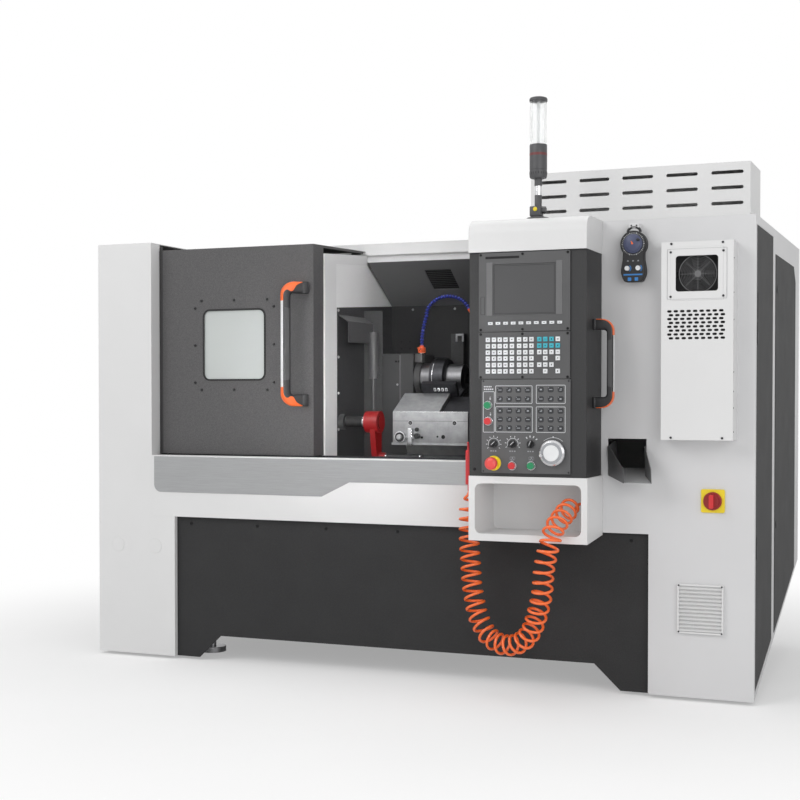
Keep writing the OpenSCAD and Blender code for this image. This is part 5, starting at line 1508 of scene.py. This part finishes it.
# Camera, floor and light. The camera's values were fitted to the photograph.
FOCAL_PX = 1402.67
IMAGE_PX = 800
SENSOR_MM = 36
YAW = radians(-22.11)
PITCH = radians(-1.192)
CAMERA_AT = (3305.5, -4822.3, 1040.5)
MIDDLE_PX = (405.22, 424.48)
SKY_LIGHT = 0.45
FLOOR_HALF = 14
GLOW_NEAR = 1.4
GLOW_FAR = 3.2
GLOW_LEAST = 0.35


def set_camera():
    data = bpy.data.cameras.new("camera")
    data.sensor_fit = "HORIZONTAL"
    data.sensor_width = SENSOR_MM
    data.lens = FOCAL_PX / IMAGE_PX * SENSOR_MM
    data.shift_x = (IMAGE_PX / 2 - MIDDLE_PX[0]) / IMAGE_PX
    data.shift_y = (MIDDLE_PX[1] - IMAGE_PX / 2) / IMAGE_PX
    data.clip_end = 100
    camera = add_object("camera", data)
    ahead = Vector((sin(YAW) * cos(PITCH), cos(YAW) * cos(PITCH), sin(PITCH)))
    camera.location = model(*CAMERA_AT)
    camera.rotation_euler = ahead.to_track_quat("-Z", "Y").to_euler()
    bpy.context.scene.camera = camera


def area_light(name, at, to, size, power, spread=180):
    data = bpy.data.lights.new(name, "AREA")
    data.shape = "RECTANGLE"
    data.size, data.size_y = size
    data.energy = power
    data.spread = radians(spread)
    lamp = add_object(name, data)
    lamp.location = at
    lamp.rotation_euler = (Vector(to) - Vector(at)).to_track_quat("-Z", "Y").to_euler()


def set_world():
    """White to the camera, through glass and in reflections, and dimmer as a light."""
    world = bpy.data.worlds.new("studio")
    world.use_nodes = True
    bpy.context.scene.world = world
    tree = world.node_tree
    tree.nodes.clear()
    kinds = ("LightPath", "Background", "Background", "Math", "Math", "MixShader", "OutputWorld")
    path, seen, lit, most, any_ray, mix, out = (tree.nodes.new("ShaderNode" + kind) for kind in kinds)
    for node in (most, any_ray):
        node.operation = "MAXIMUM"
    for node in (seen, lit):
        node.inputs["Color"].default_value = (1, 1, 1, 1)
    lit.inputs["Strength"].default_value = SKY_LIGHT
    for source, target in (
        (path.outputs["Is Camera Ray"], most.inputs[0]),
        (path.outputs["Is Transmission Ray"], most.inputs[1]),
        (most.outputs["Value"], any_ray.inputs[0]),
        (path.outputs["Is Glossy Ray"], any_ray.inputs[1]),
        (any_ray.outputs["Value"], mix.inputs["Fac"]),
        (lit.outputs["Background"], mix.inputs[1]),
        (seen.outputs["Background"], mix.inputs[2]),
        (mix.outputs["Shader"], out.inputs["Surface"]),
    ):
        tree.links.new(source, target)


def set_floor():
    """Pale floor that glows into the white background away from the machine."""
    mesh = bpy.data.meshes.new("floor")
    corners = [(FLOOR_HALF * i, FLOOR_HALF * k, 0) for i, k in ((-1, -1), (1, -1), (1, 1), (-1, 1))]
    mesh.from_pydata(corners, [], [(0, 1, 2, 3)])
    floor = add_object("floor", mesh)
    m = Nodes("pale_floor")
    m.colour(m.noise(1.2, 3), (0.93, 0.93, 0.93, 1), (0.96, 0.96, 0.96, 1))
    m.set("Roughness", 0.9)
    m.set("Specular IOR Level", 0.1)
    glow = m.add("ShaderNodeEmission")
    distance = m.add("ShaderNodeVectorMath", operation="LENGTH")
    m.link(m.position(), distance.inputs[0])
    fade = m.add("ShaderNodeMapRange", interpolation_type="SMOOTHSTEP",
                 **{"From Min": GLOW_NEAR, "From Max": GLOW_FAR, "To Min": GLOW_LEAST})
    m.link(distance.outputs["Value"], fade.inputs["Value"])
    path = m.add("ShaderNodeLightPath")
    seen = m.add("ShaderNodeMath", operation="MULTIPLY")
    m.link(fade.outputs["Result"], seen.inputs[0])
    m.link(path.outputs["Is Camera Ray"], seen.inputs[1])
    mix = m.add("ShaderNodeMixShader")
    m.link(seen.outputs["Value"], mix.inputs["Fac"])
    m.link(m.shader.outputs["BSDF"], mix.inputs[1])
    m.link(glow.outputs["Emission"], mix.inputs[2])
    m.link(mix.outputs["Shader"], m.tree.nodes["Material Output"].inputs["Surface"])
    mesh.materials.append(m.mat)


set_camera()
set_world()
set_floor()
area_light("key", (-2.5, -4.5, 4.2), (0, 0, 0.9), (3.6, 2.6), 112)
area_light("fill", (3.6, -4.2, 1.9), (-0.3, 0, 1.1), (3.0, 2.4), 62)
area_light("work_area", (1.6, -4.2, 1.2), (-0.36, 0, 1.12), (0.6, 0.6), 1.25, 14)
area_light("top", (0.2, 0.4, 5.0), (0, 0, 0.8), (4.0, 3.0), 60)
bpy.context.scene.view_settings.view_transform = "Standard"
